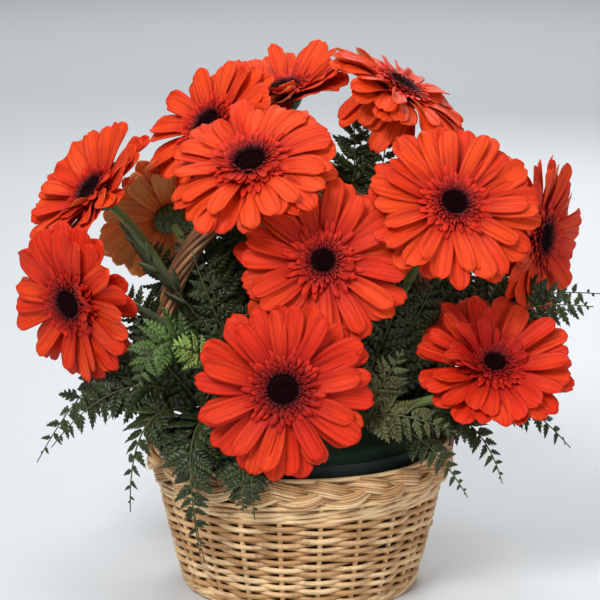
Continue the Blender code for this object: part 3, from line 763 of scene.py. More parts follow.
def floret_finish(name, tips, warm_and_top_lit, middle, root, pink_highlight):
    """Short florets: root colour by the eye, then middle, then tips further out. Painted shade
    darkens each floret towards its base with the root colour, and a pinkish painted highlight
    lightens its tip.
    """
    finish = Finish(name, 0.55, 0.15)
    along = finish.uv()[1]
    reach, tone = finish.attribute("reach"), finish.attribute("tone")
    far = finish.between(reach + tone * 0.08, 0.24, 0.44)
    near = finish.between(reach + along * 0.02, 0.17, 0.25)
    outer = finish.mix(finish.between(tone, 0.1, 0.9), tips, warm_and_top_lit)
    colour = finish.mix(near, root, finish.mix(far, middle, outer))
    # Painted shade towards each floret's base, and a painted highlight on its tip.
    shaded = finish.mix(finish.between(along, 0.8, 0.1) * 0.7, colour, root)
    finish.colour(finish.mix(finish.between(along, 0.8, 1.0) * 0.25, shaded, pink_highlight))
    finish.rough(along * 0.15 + 0.42)
    return finish


ray_face = petal_finish("ray_orange_red", (217, 44, 14), (232, 72, 20), (176, 20, 10),
                        (138, 14, 8))
ray_back = petal_finish("ray_underside", (236, 138, 66), (242, 156, 84), (218, 112, 52),
                        (190, 88, 38))
# Flower 12 faces away; its backs get this paler finish as painted light shining through the
# petals.
backlit_underside = petal_finish("ray_underside_painted_backlight", (255, 156, 86), (255, 174, 104),
                         (255, 124, 60), (236, 84, 38))
floret_skin = floret_finish("floret_crimson", (190, 28, 14), (218, 46, 17), (132, 14, 12),
                            (46, 7, 15), (204, 62, 56))
eye_skin = Finish("eye_maroon", 0.8, 0.05)
speck = eye_skin.noise(900.0, None, 2.0)
eye_skin.colour(eye_skin.mix(speck, (10, 3, 5), (40, 10, 14)))
eye_skin.rough(speck * 0.3 + 0.5)
eye_skin.bump(speck, 0.4, 0.0003)
print("petal finishes:", *(skin.material.name for skin in
                           (ray_face, ray_back, backlit_underside, floret_skin, eye_skin)))

# %% [markdown]
# ## Building the heads
# A florist's gerbera has a double row of long rays and, inside them, shorter and
# shorter florets that stand up more and more, down to the unopened buds of the eye. The
# rows only differ in their numbers, so two small tables describe a head, and all twelve
# heads share them. Random changes to each petal keep the heads from looking alike.

# %% Rows of a head
HUB = 9.0
LONG_ROWS = (
    # count, length share, width, root height, tilt over the cup in degrees
    (15, 1.00, 14.8, -3.6, -6.0),
    (15, 0.98, 14.2, -2.6, -1.0),
    (11, 0.88, 12.2, -1.8, 4.0),
)
SHORT_ROWS = (
    # count, start, length, width, root height, rise over the cup, droop, both in degrees
    (30, 9.0, 16.5, 3.2, -1.4, 7.0, 14.0),
    (34, 9.0, 13.2, 2.8, -1.0, 13.0, 20.0),
    (40, 9.0, 10.2, 2.3, -0.7, 22.0, 28.0),
    (44, 9.0, 8.0, 1.9, -0.3, 33.0, 36.0),
    (46, 8.7, 6.2, 1.45, 0.2, 45.0, 52.0),
    (42, 8.0, 4.8, 1.2, 0.7, 62.0, 70.0),
)
# Flower numbers whose florets are stretched into a wider collar, and whose eye and florets'
# roots are drawn in round a smaller eye
WIDE_COLLARS = {3: 1.1, 5: 1.28, 8: 1.1, 9: 1.1}
SMALL_EYES = {7: 0.86, 8: 0.78, 9: 0.95, 11: 0.74}


def long_petals(bloom):
    """Three rings of long rays, with the length that the head's radius leaves them."""
    free = bloom.radius - HUB
    cup, droop = math.radians(bloom.cup), math.radians(bloom.droop)
    rows = []
    for number, (count, share, width, height, tilt) in enumerate(LONG_ROWS):
        rise = vary(cup + math.radians(tilt), 0.09, count)
        bend = vary(droop, 0.12 + 0.25 * droop, count)
        length = vary(free * share, free * 0.06, count)
        rows.append(petal_ring(
            even_angles(count, 0.30, 0.5 * number), HUB, length, vary(width, 1.9, count),
            height, rise, bend, 10, RAY_ACROSS, neck=0.40,
            roll=vary(0.10, 0.22, count), groove=0.8, channel=vary(0.08, 0.32, count),
            wave=vary(1.1, 0.8, count), sway=vary(0.0, 0.1, count)))
    return rows


def short_petals(bloom, crown, narrow):
    """Rings of florets; crown stretches them all on the heads with a wide collar, and
    narrow draws their roots in round a small eye."""
    cup = math.radians(bloom.cup)
    rows = []
    for number, (count, start, short, width, height, rise, droop) in enumerate(SHORT_ROWS):
        length = short * crown
        rows.append(petal_ring(
            even_angles(count, 0.3, 0.37 * number), start * narrow,
            vary(length, length * 0.14, count), vary(width, width * 0.15, count), height,
            vary(cup * 0.6 + math.radians(rise), 0.14, count),
            vary(math.radians(droop), 0.25, count), 5, FLORET_ACROSS, neck=0.5,
            channel=0.5, roll=vary(0.0, 0.4, count), sway=vary(0.0, 0.12, count), tip=0.34))
    return rows


print("a head has", sum(row[0] for row in LONG_ROWS), "long rays and",
      sum(row[0] for row in SHORT_ROWS), "florets")

# %% [markdown]
# Some heads have half-grown rays on one side of the eye. Most stand up, and where the rise
# is negative they hang over the rays below. The buds lie on a spiral, as they do on a
# sunflower, over a small cushion that closes the head from behind.

# %% Half-grown rays, buds and the finished heads
HALF_RAYS = (
    # flower, middle and half span of the side in degrees from the flower's right, count,
    # length, width, rise in degrees
    (1, 5, 42, 9, 15.0, 5.0, 38),
    (2, -40, 50, 8, 20.0, 8.0, 40),
    (5, -90, 75, 16, 15.0, 5.0, 36),
    (8, -28, 14, 2, 12.0, 5.0, 44),
    (11, 150, 55, 9, 25.0, 9.5, 48),
    (11, 60, 50, 7, 14.0, 5.0, 40),
    (6, 190, 46, 8, 42.0, 13.0, -36),
    (4, 265, 40, 6, 36.0, 12.0, -30),
)


def half_rays(side, span, count, length, width, rise):
    """Short rays round one side of the eye only."""
    angles = np.radians(side + span * np.linspace(-1.0, 1.0, count)
                        + chance.uniform(-4.0, 4.0, count))
    return petal_ring(angles, HUB, vary(length, length * 0.2, count),
                      vary(width, width * 0.15, count), -0.4,
                      vary(math.radians(rise), 0.2, count), vary(0.5, 0.4, count), 9,
                      RAY_ACROSS, neck=0.42, roll=vary(0.1, 0.3, count), groove=0.3,
                      channel=vary(0.3, 0.3, count), sway=vary(0.0, 0.1, count))


BUDS, BUD_FIELD, BUD_RADIUS = 90, 7.4, 0.66
GOLDEN_ANGLE = math.pi * (3.0 - math.sqrt(5.0))


def placed(made, bloom):
    """A grid in a head's own axes, moved to its place."""
    made["points"] = set_in_place(made["points"], bloom)
    return made


def bud_field(bloom, narrow):
    """Unopened buds on a sunflower spiral: each turns by the golden angle and its radius
    grows as the square root of its number; the field is dished in the middle."""
    number = np.arange(BUDS) + 0.5
    radius = BUD_FIELD * np.sqrt(number / BUDS)
    angle = number * GOLDEN_ANGLE
    level = 1.3 + 1.5 * smooth_step(radius / BUD_FIELD) - 0.9 * (radius / BUD_FIELD) ** 6
    root = np.stack([radius * np.cos(angle), radius * np.sin(angle), level - 1.0], -1)
    upright = root[:, None] + np.array([[0.0], [0.9], [1.5]]) * UP
    size = np.array([1.0, 1.0, 0.45]) * BUD_RADIUS * chance.uniform(0.85, 1.15, (BUDS, 1))
    made = rods(upright, size, 5, (1, 0, 0), tone=chance.uniform(0, 1, (BUDS, 1)))
    made["points"] = made["points"] * np.array([narrow, narrow, 1.0])
    return placed(made, bloom)


CUSHION = ((0, -5.0), (9.0, -5.0), (9.4, -3.0), (9.2, -0.6), (8.4, 0.6), (7.6, 1.2),
           (4.0, 1.0), (0, 0.6))
for number, bloom in enumerate(BLOOMS, 1):
    narrow, head = SMALL_EYES.get(number, 1.0), f"bloom_{number:02d}"
    rays = [head_sheets(row, bloom) for row in long_petals(bloom)]
    rays += [head_sheets(half_rays(*row[1:]), bloom)
             for row in HALF_RAYS if row[0] == number]
    # The backs of flower 12 take the paler finish: painted light.
    piece(f"rays_{number:02d}", head, rays,
          [ray_face, backlit_underside if number == 12 else ray_back], thickness=0.45)
    florets = short_petals(bloom, WIDE_COLLARS.get(number, 1.0), narrow)
    piece(f"florets_{number:02d}", head,
          [head_sheets(row, bloom, narrow) for row in florets], [floret_skin], thickness=0.3)
    piece(f"buds_{number:02d}", f"eye_{number:02d}",
          [placed(turned(CUSHION, 36), bloom), bud_field(bloom, narrow)], [eye_skin])
print("finished heads:", number, "with", BUDS, "buds each")

# %% [markdown]
# ## Stems and their cups of bracts
# A gerbera stands on a smooth, leafless stem that is faintly ribbed and downy, and its
# head sits in a cup of narrow overlapping bracts. The stem bends from the lean it has in
# the foam to the way the flower faces, along a cubic curve with the same four control
# points as the plain solid; the cup is a swelling of the same rod, with bracts over it.

# %% Grow the stems
STEM_RADIUS, STEM_DEPTH, NECK_LENGTH, CUP_DEPTH = 2.7, 24.0, 13.0, 5.3
STEM_RIBS, STEM_POINTS, LEAN_REACH = 9.0, 26, 110.0
CUP_BACK = np.array([13.0, 10.5, 8.5, 6.0, 3.0, 1.0, 0.0])
CUP_RADIUS = np.array([2.7, 3.6, 5.6, 7.8, 9.2, 9.5, 9.3])
BRACT_ROWS = ((14, 11.5, 9.5, 3.0), (16, 8.0, 9.0, 3.4), (18, 4.5, 7.5, 3.6))


def bezier(a, b, c, d, share):
    """The cubic curve from a to d that leaves towards b and arrives from c."""
    s = share[:, None]
    return a * (1 - s) ** 3 + 3 * b * s * (1 - s) ** 2 + 3 * c * s * s * (1 - s) + d * s ** 3


def stem_line(bloom, out):
    """Path and radius from the stem's foot in the foam to the top of its cup."""
    cup_top = np.array(bloom.eye) - out * CUP_DEPTH
    neck = cup_top - out * NECK_LENGTH
    mouth = np.array([*bloom.mouth, FOAM_TOP], dtype=float)
    lean = unit(np.array([bloom.mouth[0] / LEAN_REACH, bloom.mouth[1] / LEAN_REACH, 1.0]))
    span = np.linalg.norm(neck - mouth)
    line = bezier(mouth, mouth + lean * span * 0.45, neck - out * span * 0.28, neck,
                  np.linspace(0.0, 1.0, STEM_POINTS))
    cup = cup_top - out * CUP_BACK[1:, None]
    path = np.concatenate([[mouth - lean * STEM_DEPTH], line, cup])
    radius = np.concatenate([[STEM_RADIUS] * (STEM_POINTS + 1), CUP_RADIUS[1:]])
    return path, radius, cup_top


def bracts(cup_top, axes):
    """Pointed straps over the cup: each follows the cup's radius at its distance behind
    the top, stands a little proud of it, and narrows to its tip."""
    rows = []
    share = np.linspace(0.0, 1.0, 6)[None, :, None]
    for number, (count, back, length, width) in enumerate(BRACT_ROWS):
        angles = even_angles(count, 0.15, 0.5 * number)
        behind = back - share * vary(length, 0.8, count)
        cup_radius = np.interp(behind, CUP_BACK[::-1], CUP_RADIUS[::-1])
        radius = (cup_radius + 0.35 + 0.25 * number + 0.5 * share ** 3
                  - 0.25 * FLORET_ACROSS ** 2)
        half = width / 2.0 * (1.0 - share ** 1.6) ** 0.7 + 0.12
        points = swung(radius, FLORET_ACROSS * half, -behind, angles) @ axes + cup_top
        rows.append(gridded(points[:, :, ::-1], chance.uniform(0, 1, (count, 1, 1)), share))
    return rows


stem_skin = Finish("stem_green", 0.5)
rib_wave = (stem_skin.uv()[0] * (math.tau * STEM_RIBS)).math("SINE")
stem_green = stem_skin.mix(stem_skin.noise(38.0), (88, 112, 48), (122, 142, 72))
stem_skin.colour(stem_skin.mix(stem_skin.between(rib_wave, 0.2, 1.0) * 0.35, stem_green,
                               (146, 160, 96)))
stem_skin.bump(rib_wave + stem_skin.noise(1500.0) * 0.6, 0.4, 0.0003)
bract_skin = Finish("bract_green", 0.55)
bract_along = bract_skin.attribute("reach")
bract_green = bract_skin.mix(bract_skin.attribute("tone"), (58, 84, 40), (82, 108, 52))
bract_skin.colour(bract_skin.mix(bract_along * bract_along * 0.8, bract_green, (92, 62, 40)))
bract_skin.bump(bract_skin.noise(900.0), 0.4, 0.0003)

for number, bloom in enumerate(BLOOMS, 1):
    axes = head_axes(bloom)
    path, radius, cup_top = stem_line(bloom, axes[2])
    stem = f"stem_{number:02d}"
    piece(f"scape_{number:02d}", stem, [rods(path[None], radius[None], 14, axes[0])],
          [stem_skin])
    piece(f"bracts_{number:02d}", stem, bracts(cup_top, axes), [bract_skin],
          thickness=0.35)
print("stems:", number, "with", sum(row[0] for row in BRACT_ROWS), "bracts each")

# %% [markdown]
# ## Leatherleaf fern
# A frond is divided twice. Its rib carries pairs of branches that are longest a quarter
# of the way up, and each branch carries toothed leaflets that shorten to its tip. Rib,
# branch and leaflet are three nested places on arrays: the frame of the rib at a
# branch's root, the branch's own direction, and a small closed blade for each leaflet.
# A table gives each frond as numbers: where it leaves the foam, where its crest and its
# tip are, which way its face looks, then its half width, its pairs of branches and the
# share of the rib that is bare.

# %% Where the fronds stand
Frond = namedtuple("Frond", "name mouth crest tip face half_width pairs bare")


def frond_rows(table):
    """One frond for each line; every mouth lies at the top of the foam."""
    rows = []
    for name, *words in map(str.split, table.strip().splitlines()):
        numbers = np.array(words, dtype=float)
        rows.append(Frond(name, np.append(numbers[:2], FOAM_TOP), *np.split(numbers[2:11], 3),
                          numbers[11], int(numbers[12]), numbers[13]))
    return rows


FRONDS = frond_rows("""
fern_left_low  -60 14  -112 18 156  -170 0 76  -0.3 -0.6 0.8  34 8 0.46
fern_left_mid  -56 -26  -108 -42 144  -155 -48 100  -0.2 -0.8 0.6  30 8 0.26
fern_rim_left  -40 -50  -74 -92 132  -57 -113 46  -0.3 -0.9 0.3  30 8 0.26
fern_rim_side  -56 -42  -98 -72 134  -104 -80 68  -0.6 -0.7 0.3  24 7 0.34
fern_rim_front  -20 -60  -31 -97 118  -27 -114 74  -0.1 -1.0 0.3  18 6 0.36
fern_bright  -34 -40  -82 -74 184  -98 -86 146  -0.2 -0.9 0.4  26 7 0.46
fern_sprig  -16 -40  -58 -72 160  -76 -84 174  0.0 -0.9 0.4  15 3 0.6
fern_right_high  58 26  116 58 168  203 80 170  0.0 -0.9 0.5  34 8 0.36
fern_right_low  62 -2  118 -22 138  172 -22 92  0.3 -0.6 0.8  32 8 0.38
fern_right_tip  58 -36  104 -58 126  125 -66 82  0.4 -0.7 0.5  22 7 0.34
fern_olive  24 -60  58 -94 132  98 -92 120  0.1 -0.8 0.6  22 7 0.24
fern_rim_right  46 -52  78 -88 112  102 -88 80  0.3 -0.8 0.4  16 6 0.36
fern_mid_left  -26 -30  -50 -46 170  -66 -50 226  -0.2 -1.0 0.1  27 8 0.16
fern_mid_right  30 -38  52 -48 160  66 -52 216  0.1 -1.0 0.1  32 8 0.16
fern_top  14 50  26 66 220  38 62 312  0.0 -1.0 0.2  34 9 0.30
leaf_spray  -32 2  -78 -12 184  -114 -14 236  -0.3 -0.9 0.3  20 0 0.46
fern_back_left  -42 54  -66 104 160  -112 122 112  -0.4 0.7 0.7  46 8 0.18
fern_back_mid  0 60  0 108 176  4 136 222  0.0 1.0 0.3  44 8 0.18
fern_back_right  38 56  64 104 158  112 124 108  0.4 0.7 0.7  46 8 0.18
""")
# Fronds that fill the bunch between the heads. Each is part of the same bought stem as the
# frond it is named after, so it is made in that frond's piece.
FILLERS = frond_rows("""
fern_mid_left  -30 4  -60 26 172  -72 30 216  -0.3 -1.0 0.2  26 8 0.14
fern_mid_left  -22 -34  -40 -62 142  -58 -66 186  -0.1 -1.0 0.2  32 8 0.14
fern_left_mid  -54 -30  -86 -48 146  -100 -56 186  -0.3 -1.0 0.2  30 8 0.18
fern_left_low  -56 10  -92 2 160  -118 -6 196  -0.3 -1.0 0.3  32 8 0.2
fern_mid_right  34 -34  66 -36 160  84 -38 206  0.2 -1.0 0.2  36 8 0.14
fern_mid_right  26 -30  42 -24 180  50 -20 236  0.0 -1.0 0.2  38 8 0.14
fern_right_low  58 0  84 -4 170  112 -6 214  0.2 -1.0 0.3  34 8 0.2
fern_olive  30 -56  46 -78 136  62 -84 172  0.1 -1.0 0.3  26 7 0.2
fern_top  16 46  34 52 200  52 50 262  0.0 -1.0 0.2  42 8 0.22
fern_back_left  -38 50  -60 40 180  -66 34 246  -0.1 -1.0 0.2  44 8 0.2
fern_back_mid  -4 56  -14 50 180  -16 46 240  0.0 -1.0 0.2  46 8 0.2
fern_back_right  40 52  76 44 170  104 40 214  0.1 -1.0 0.2  42 8 0.2
fern_back_left  -44 40  -82 30 176  -98 30 216  -0.2 -1.0 0.2  30 8 0.3
fern_mid_left  -34 -6  -62 14 190  -68 18 240  -0.1 -1.0 0.2  30 8 0.3
fern_top  14 48  34 46 230  42 42 298  0.0 -1.0 0.2  26 6 0.45
fern_right_low  60 -6  86 -22 124  112 -30 112  0.2 -1.0 0.4  26 8 0.1
fern_right_high  60 10  118 -20 178  184 -22 184  0.0 -1.0 0.4  34 9 0.45
fern_top  18 40  38 22 240  32 22 306  0.0 -1.0 0.1  24 6 0.5
fern_top  22 40  52 20 236  54 24 290  0.1 -1.0 0.1  22 6 0.5
fern_back_mid  -10 46  -34 30 200  -36 26 248  0.0 -1.0 0.2  32 8 0.5
fern_rim_front  -20 -60  -34 -99 112  -34 -112 78  -0.1 -1.0 0.3  24 7 0.5
fern_rim_left  -40 -50  -70 -94 124  -60 -111 52  -0.3 -0.9 0.3  24 8 0.4
fern_back_right  50 30  110 0 176  134 4 188  0.1 -1.0 0.2  30 8 0.3
fern_left_low  -60 4  -104 -12 150  -140 -26 122  -0.2 -0.9 0.6  24 8 0.4
leaf_spray  -36 -8  -74 -18 158  -108 -16 186  -0.3 -0.9 0.3  14 0 0.5
""")
# Short fronds that lie outwards over the liner's edge: frond and direction in degrees
RIM_FRONDS = (("fern_left_low", 178), ("fern_left_low", 153), ("fern_back_left", 128),
              ("fern_back_mid", 103), ("fern_back_mid", 77), ("fern_back_right", 52),
              ("fern_back_right", 27), ("fern_right_low", 2))
RIM_PLACES = ((50, FOAM_TOP), (90, 132), (124, 104))
RIM_BLADE = (36, 6, 0.1)


def rim_frond(name, degrees):
    """A frond that leaves the foam, rises a little and comes down outside the border."""
    out = np.array([math.cos(math.radians(degrees)), math.sin(math.radians(degrees)), 0.0])
    return Frond(name, *(out * radius + UP * height for radius, height in RIM_PLACES), UP,
                 *RIM_BLADE)


FILLERS += [rim_frond(*row) for row in RIM_FRONDS]
print("fronds:", len(FRONDS), "and", len(FILLERS), "that fill the gaps")

# %% [markdown]
# The rib is a cubic curve, like the stems. A leaf is a closed blade: a tube of four lines,
# two edges, the midrib and the under side, so that it has a back of its own colour and
# needs no thickness added.

# %% The rib and the blade
STALK_DEPTH = 18.0
LEAF_HALF_THICKNESS = 0.25
TOP_TOP_BACK_BACK = [0, 0, 1, 1]
RIB_FINISH = 2


def frond_rib(frond, share):
    """Point, way ahead, side and upper side of the rib at each share of its curve, and the
    foot of its stalk in the foam."""
    rise = frond.crest - frond.mouth
    lean = unit(UP + unit(rise))
    control = (frond.mouth, frond.mouth + lean * np.linalg.norm(rise) * 0.7,
               frond.crest + rise * 0.18, frond.tip)
    point = bezier(*control, share)
    ahead = unit(bezier(*control, np.minimum(share + 0.01, 1.0))
                 - bezier(*control, np.maximum(share - 0.01, 0.0)))
    side = unit(np.cross(ahead, frond.face))
    return point, ahead, side, np.cross(side, ahead), frond.mouth - lean * STALK_DEPTH


def blades(root, way, upper, length, width, rows, curl, sweep, tone):
    """Closed thin leaves. From each root the middle line runs the leaf's length along its
    way, sinks by curl and swings by sweep with the square of the share. Round it go four
    points: right edge, midrib, left edge and under side; the half width is a sine arch
    skewed towards the root, and the edges lift a little above the midrib."""
    count = len(root)
    across = np.cross(upper, way)
    share = np.linspace(0.0, 1.0, rows)
    arch_width = np.sin(math.pi * (share * 0.92 + 0.08) ** 0.8) ** 0.75
    half = width[:, None] / 2.0 * arch_width
    half[:, 0] = width * 0.2
    drop = (length * curl)[:, None] * share ** 2
    aside = (length * sweep)[:, None] * share ** 2
    line = (root[:, None] + way[:, None] * (length[:, None] * share)[..., None]
            - upper[:, None] * drop[..., None] + across[:, None] * aside[..., None])
    edge = across[:, None] * half[..., None]
    lifted = upper[:, None] * (0.2 * half)[..., None]
    rib = upper[:, None] * np.full((1, rows, 1), LEAF_HALF_THICKNESS)
    points = np.stack([line + edge + lifted, line + rib, line - edge + lifted, line - rib], 2)
    made = gridded(points, tone, share[None], tube=True)
    made["finish"] = np.tile(TOP_TOP_BACK_BACK, count * (rows - 1))
    add_poles(made, line, rows, 4)
    return made


def frond_stalk(frond):
    """The rib as a thin rod from its foot in the foam to the frond's tip."""
    share = np.linspace(0.0, 1.0, 22)
    point, _, side, _, foot_point = frond_rib(frond, share)
    path = np.concatenate([[foot_point], point])
    radius = np.concatenate([[1.0], 1.0 - 0.65 * share])
    made = rods(path[None], radius[None], 6, np.concatenate([side[:1], side])[None])
    made["finish"] = RIB_FINISH
    return made


# %% [markdown]
# Branches and leaflets are drawn as arrays too: first the root, the way and the upper side
# of every branch, then those of every leaflet on it, and then one batch of blades.

# %% Branches and leaflets
EXTRA_PAIRS = 3
BRANCH_DROOP, BRANCH_SWEEP = 0.16, 0.10
# A leaflet's length as a share of its branch, its width as a share of that, and the way
# it points: so much along the branch and so much aside
LEAFLET_LENGTH, LEAFLET_WIDTH, LEAFLET_AHEAD, LEAFLET_ASIDE = 0.40, 0.60, 0.80, 0.74
LEAFLET_CURL = 0.12


def branch_length(share, half_width):
    """Longest a quarter of the way up the blade, then shorter to its tip."""
    return half_width * (1.0 - share) ** 0.65 * np.minimum(1.0, 0.72 + 1.3 * share)


def branches(frond, lean_share=0.5):
    """Root, way, upper side, length and side of every branch of a frond. Left and right
    branches stand a third of a step apart, closer together towards the tip, and each is
    tipped and rolled a little out of the frond's own plane."""
    pairs, bare = frond.pairs + EXTRA_PAIRS, frond.bare
    hand = np.tile([-1.0, 1.0], pairs)
    blade = 1.0 - (1.0 - (np.repeat(np.arange(pairs), 2) + 0.5 + 0.17 * hand) / pairs) ** 1.15
    point, ahead, side, upper, _ = frond_rib(frond, bare + (1.0 - bare) * 0.97 * blade)
    length = (branch_length(blade, frond.half_width) * 1.1
              * chance.uniform(0.9, 1.08, len(blade)))
    lean = lean_share + 0.14 * chance.uniform(-1.0, 1.0, (len(blade), 1))
    tip_out, roll = chance.uniform(-1.0, 1.0, (2, len(blade), 1))
    way = unit(side * hand[:, None] + ahead * lean + upper * (0.34 * tip_out - 0.1))
    return point, way, square_to(way, upper + ahead * 0.45 * roll), length, hand


def branch_leaflets(roots, way, upper, length, hand, tone, a_side, rows):
    """Leaflets on both sides of each branch: their roots lie on the branch's curve, and
    they shorten to its tip by the power 0.7 of what is left."""
    place = (np.arange(a_side) + 0.6) / (a_side + 0.4)
    size = (1.0 - place) ** 0.7 * (0.6 + 0.4 * np.minimum(1.0, place * 5.0 + 0.2))
    across = np.cross(upper, way)
    drop = (length * BRANCH_DROOP)[:, None] * place ** 2
    aside = (length * BRANCH_SWEEP * hand)[:, None] * place ** 2
    spots = (roots[:, None] + way[:, None] * (length[:, None] * place)[..., None]
             - upper[:, None] * drop[..., None] + across[:, None] * aside[..., None])
    leaf_length = length[:, None] * LEAFLET_LENGTH * size[None]
    leaf_width = leaf_length * LEAFLET_WIDTH + length[:, None] * 0.035
    grids = []
    for turn_side in (-1.0, 1.0):
        swing = chance.uniform(0.88, 1.12, spots.shape[:2])[..., None]
        leaf_way = unit(way[:, None] * LEAFLET_AHEAD * swing
                        + across[:, None] * turn_side * LEAFLET_ASIDE
                        + upper[:, None] * (0.14 - 0.34 * (swing - 0.88)))
        rolled = upper[:, None] + across[:, None] * chance.uniform(-0.5, 0.5, swing.shape)
        leaf_up = square_to(leaf_way, rolled)
        leaf_tone = tone[:, None] * 0.6 + 0.4 * chance.uniform(0, 1, leaf_length.shape)
        grids.append(blades(*(values.reshape(-1, 3) for values in (spots, leaf_way, leaf_up)),
                            leaf_length.ravel(), leaf_width.ravel(), rows, LEAFLET_CURL, 0.0,
                            leaf_tone.ravel()))
    return grids


def frond_sheets(frond):
    """All the leaves of one frond, as a few batches of closed blades."""
    root, way, upper, length, hand = branches(frond)
    tone = chance.uniform(0.0, 1.0, len(length))
    grids = [blades(root, way, upper, length * 1.04, length * 0.14 + 1.4, 6,
                    BRANCH_DROOP, BRANCH_SWEEP * hand, tone)]
    long = length > 0.6 * length.max()
    for chosen, a_side, rows in ((long, 6, 4), (~long, 4, 3)):
        grids += branch_leaflets(*(values[chosen] for values in
                                   (root, way, upper, length, hand, tone)), a_side, rows)
    return grids


def lance_sheets(frond):
    """Plain long leaves: one that ends the rib, and others that lean along it."""
    root, way, upper, length, hand = branches(frond, 1.5)
    point, _, _, top, _ = frond_rib(frond, np.array([0.6, 1.0]))
    last = point[1:] - point[:1]
    root, way = np.concatenate([root, point[:1]]), np.concatenate([way, unit(last)])
    upper = np.concatenate([upper, square_to(unit(last), top[:1])])
    length = np.append(length * 1.05, np.linalg.norm(last))
    width = np.append(length[:-1] * 0.26, 8.5)
    tone = chance.uniform(0.0, 1.0, len(length))
    return [blades(root, way, upper, length, width, 9, 0.1, np.append(0.1 * hand, 0.0), tone)]


# %% [markdown]
# The fronds share one recipe with different greens. A leaflet is darkest in its middle
# and a little lighter towards its edge, tone sets neighbours apart, and its back is
# paler and duller. One frond at the front right is olive, one on the left is a fresher
# green, a sprig is yellower still, and the long lance leaves are greyish with pale edges.


# %% Finishes of the leaves
def leaf_finish(name, deep, fresh, edge, roughness):
    finish = Finish(name, roughness, 0.4)
    tone = finish.attribute("tone")
    from_middle = (finish.uv()[0] * math.tau).math("COSINE").math("ABSOLUTE")
    cloud = finish.noise(70.0)
    body = finish.mix(finish.between(tone * 0.6 + cloud * 0.7, 0.35, 0.95), deep, fresh)
    finish.colour(finish.mix(from_middle * from_middle * 0.35, body, edge))
    finish.rough(cloud * 0.25 + (roughness - 0.12))
    finish.bump(from_middle * 0.5 + finish.noise(600.0) * 0.5, 0.35, 0.0004)
    return finish


fern_face = leaf_finish("fern_dark", (28, 36, 14), (52, 64, 27), (74, 86, 42), 0.42)
fern_back = leaf_finish("fern_underside", (50, 62, 38), (70, 84, 52), (80, 92, 60), 0.65)
rib_face = leaf_finish("fern_rib", (52, 56, 28), (80, 82, 42), (80, 82, 42), 0.5)
LEAF_FACES = {
    "fern_bright": leaf_finish("fern_mid_green", (44, 62, 24), (78, 106, 44),
                               (104, 128, 66), 0.42),
    "fern_olive": leaf_finish("fern_olive_face", (62, 66, 34), (88, 88, 50),
                              (108, 104, 64), 0.5),
    "fern_sprig": leaf_finish("fern_fresh", (92, 122, 50), (138, 166, 78),
                              (164, 188, 108), 0.45),
    "leaf_spray": leaf_finish("leaf_lance", (36, 48, 26), (60, 74, 42),
                              (136, 146, 112), 0.5)}
print("fronds with a green of their own:", *LEAF_FACES)

# %% [markdown]
# Every frond becomes one piece, together with the fronds that fill the gaps beside it. Its
# faces, backs and ribs have three finishes.

# %% Make every frond
leaf_faces = 0
for frond in FRONDS:
    grids = []
    for one in (frond, *(filler for filler in FILLERS if filler.name == frond.name)):
        leaves = lance_sheets(one) if frond.name == "leaf_spray" else frond_sheets(one)
        grids += [*leaves, frond_stalk(one)]
    made = piece("leaves_" + frond.name, frond.name, grids,
                 [LEAF_FACES.get(frond.name, fern_face), fern_back, rib_face])
    leaf_faces += len(made.data.polygons)
print("fronds:", len(FRONDS) + len(FILLERS), "with", leaf_faces, "faces")

# %% [markdown]
# ## Ground, light and camera
# The basket stands on a plain pale floor that runs on to the horizon, so it is the same
# from every side. Large area lamps stand in for a photographer's soft boxes, and a wide
# weak one far behind keeps the distance from going dark.

# %% Ground
FAR = 30.0
ground_mesh = bpy.data.meshes.new("ground")
ground_mesh.from_pydata([(-FAR, -FAR, 0), (FAR, -FAR, 0), (FAR, FAR, 0), (-FAR, FAR, 0)], [],
                        [(0, 1, 2, 3)])
ground = add_object("ground", ground_mesh)
ground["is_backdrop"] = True
ground_skin = Finish("ground_pale", 0.6)
ground_skin.colour((206, 210, 213))
ground_mesh.materials.append(ground_skin.material)
print("ground", 2 * FAR, "m wide")

# %% [markdown]
# The key lamp stands high on the left in front and gives the soft shadows. The others are
# weak: they fill the right side, lift the top and the back, and light the far ground.


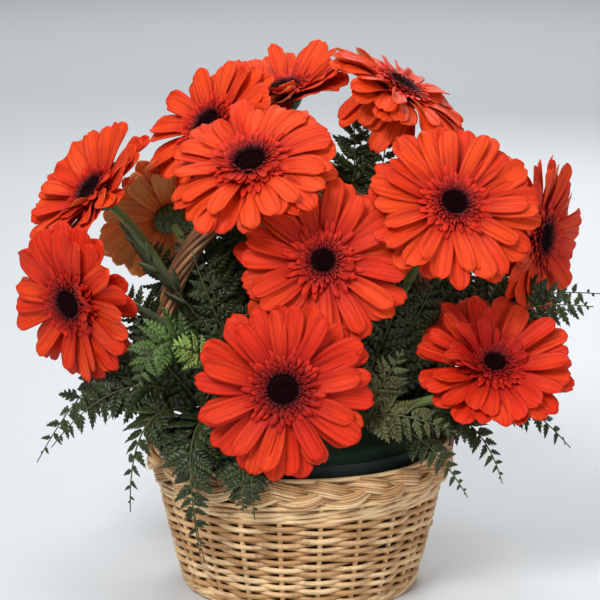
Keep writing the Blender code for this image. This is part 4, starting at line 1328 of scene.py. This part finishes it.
# %% Lamps
def lamp(name, place, aim, size, power):
    """A square area lamp at place that looks at aim; sizes in metres, power in watts."""
    light = bpy.data.lights.new(name, "AREA")
    light.size = size
    light.energy = power
    made = add_object(name, light)
    towards = np.array(aim) - np.array(place)
    pitch = math.atan2(math.hypot(towards[0], towards[1]), -towards[2])
    made.location = place
    made.rotation_euler = (pitch, 0.0, math.atan2(-towards[0], towards[1]))


MIDDLE = (0.0, 0.0, 0.2)
LAMPS = (("key", (-1.05, -1.95, 2.3), MIDDLE, 1.05, 76.0),
         ("fill", (1.3, -1.3, 0.9), MIDDLE, 1.2, 8.0),
         ("above", (0.0, 0.2, 1.7), MIDDLE, 1.0, 10.0),
         ("behind", (0.5, 1.6, 1.1), MIDDLE, 1.0, 10.0),
         ("far_ground", (0.1, 3.2, 2.4), (0.1, 3.4, 0.0), 2.0, 40.0))
for row in LAMPS:
    lamp(*row)
world = bpy.data.worlds.new("studio")
world.use_nodes = True
sky = world.node_tree.nodes["Background"]
sky.inputs["Color"].default_value = (0.86, 0.9, 0.95, 1.0)
sky.inputs["Strength"].default_value = 0.30
bpy.context.scene.world = world
bpy.context.scene.view_settings.view_transform = "Standard"
print("lamps:", len(LAMPS))

# %% [markdown]
# The camera stands where the photograph was measured to be taken from: 1.45 m away, 12.5
# degrees above the horizon, with a narrow view of 15 degrees.

# %% Camera
CAMERA_ELEVATION, CAMERA_DISTANCE, CAMERA_ANGLE = math.radians(12.5), 1.45, math.radians(15.0)
CAMERA_AIM = np.array([0.0, 0.0, 0.1835])
view = bpy.data.cameras.new("view")
view.angle = CAMERA_ANGLE
camera = add_object("view", view)
camera.location = CAMERA_AIM + CAMERA_DISTANCE * np.array(
    [0.0, -math.cos(CAMERA_ELEVATION), math.sin(CAMERA_ELEVATION)])
camera.rotation_euler = (math.pi / 2 - CAMERA_ELEVATION, 0.0, 0.0)
bpy.context.scene.camera = camera
print("camera at", [round(v, 3) for v in camera.location])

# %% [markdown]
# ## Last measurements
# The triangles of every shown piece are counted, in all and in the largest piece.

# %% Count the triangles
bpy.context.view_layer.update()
graph = bpy.context.evaluated_depsgraph_get()
triangles = {}
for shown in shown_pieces():
    shape = shown.evaluated_get(graph).to_mesh()
    shape.calc_loop_triangles()
    triangles[shown.name] = len(shape.loop_triangles)
print("triangles", sum(triangles.values()), "the most in one piece", max(triangles.values()))
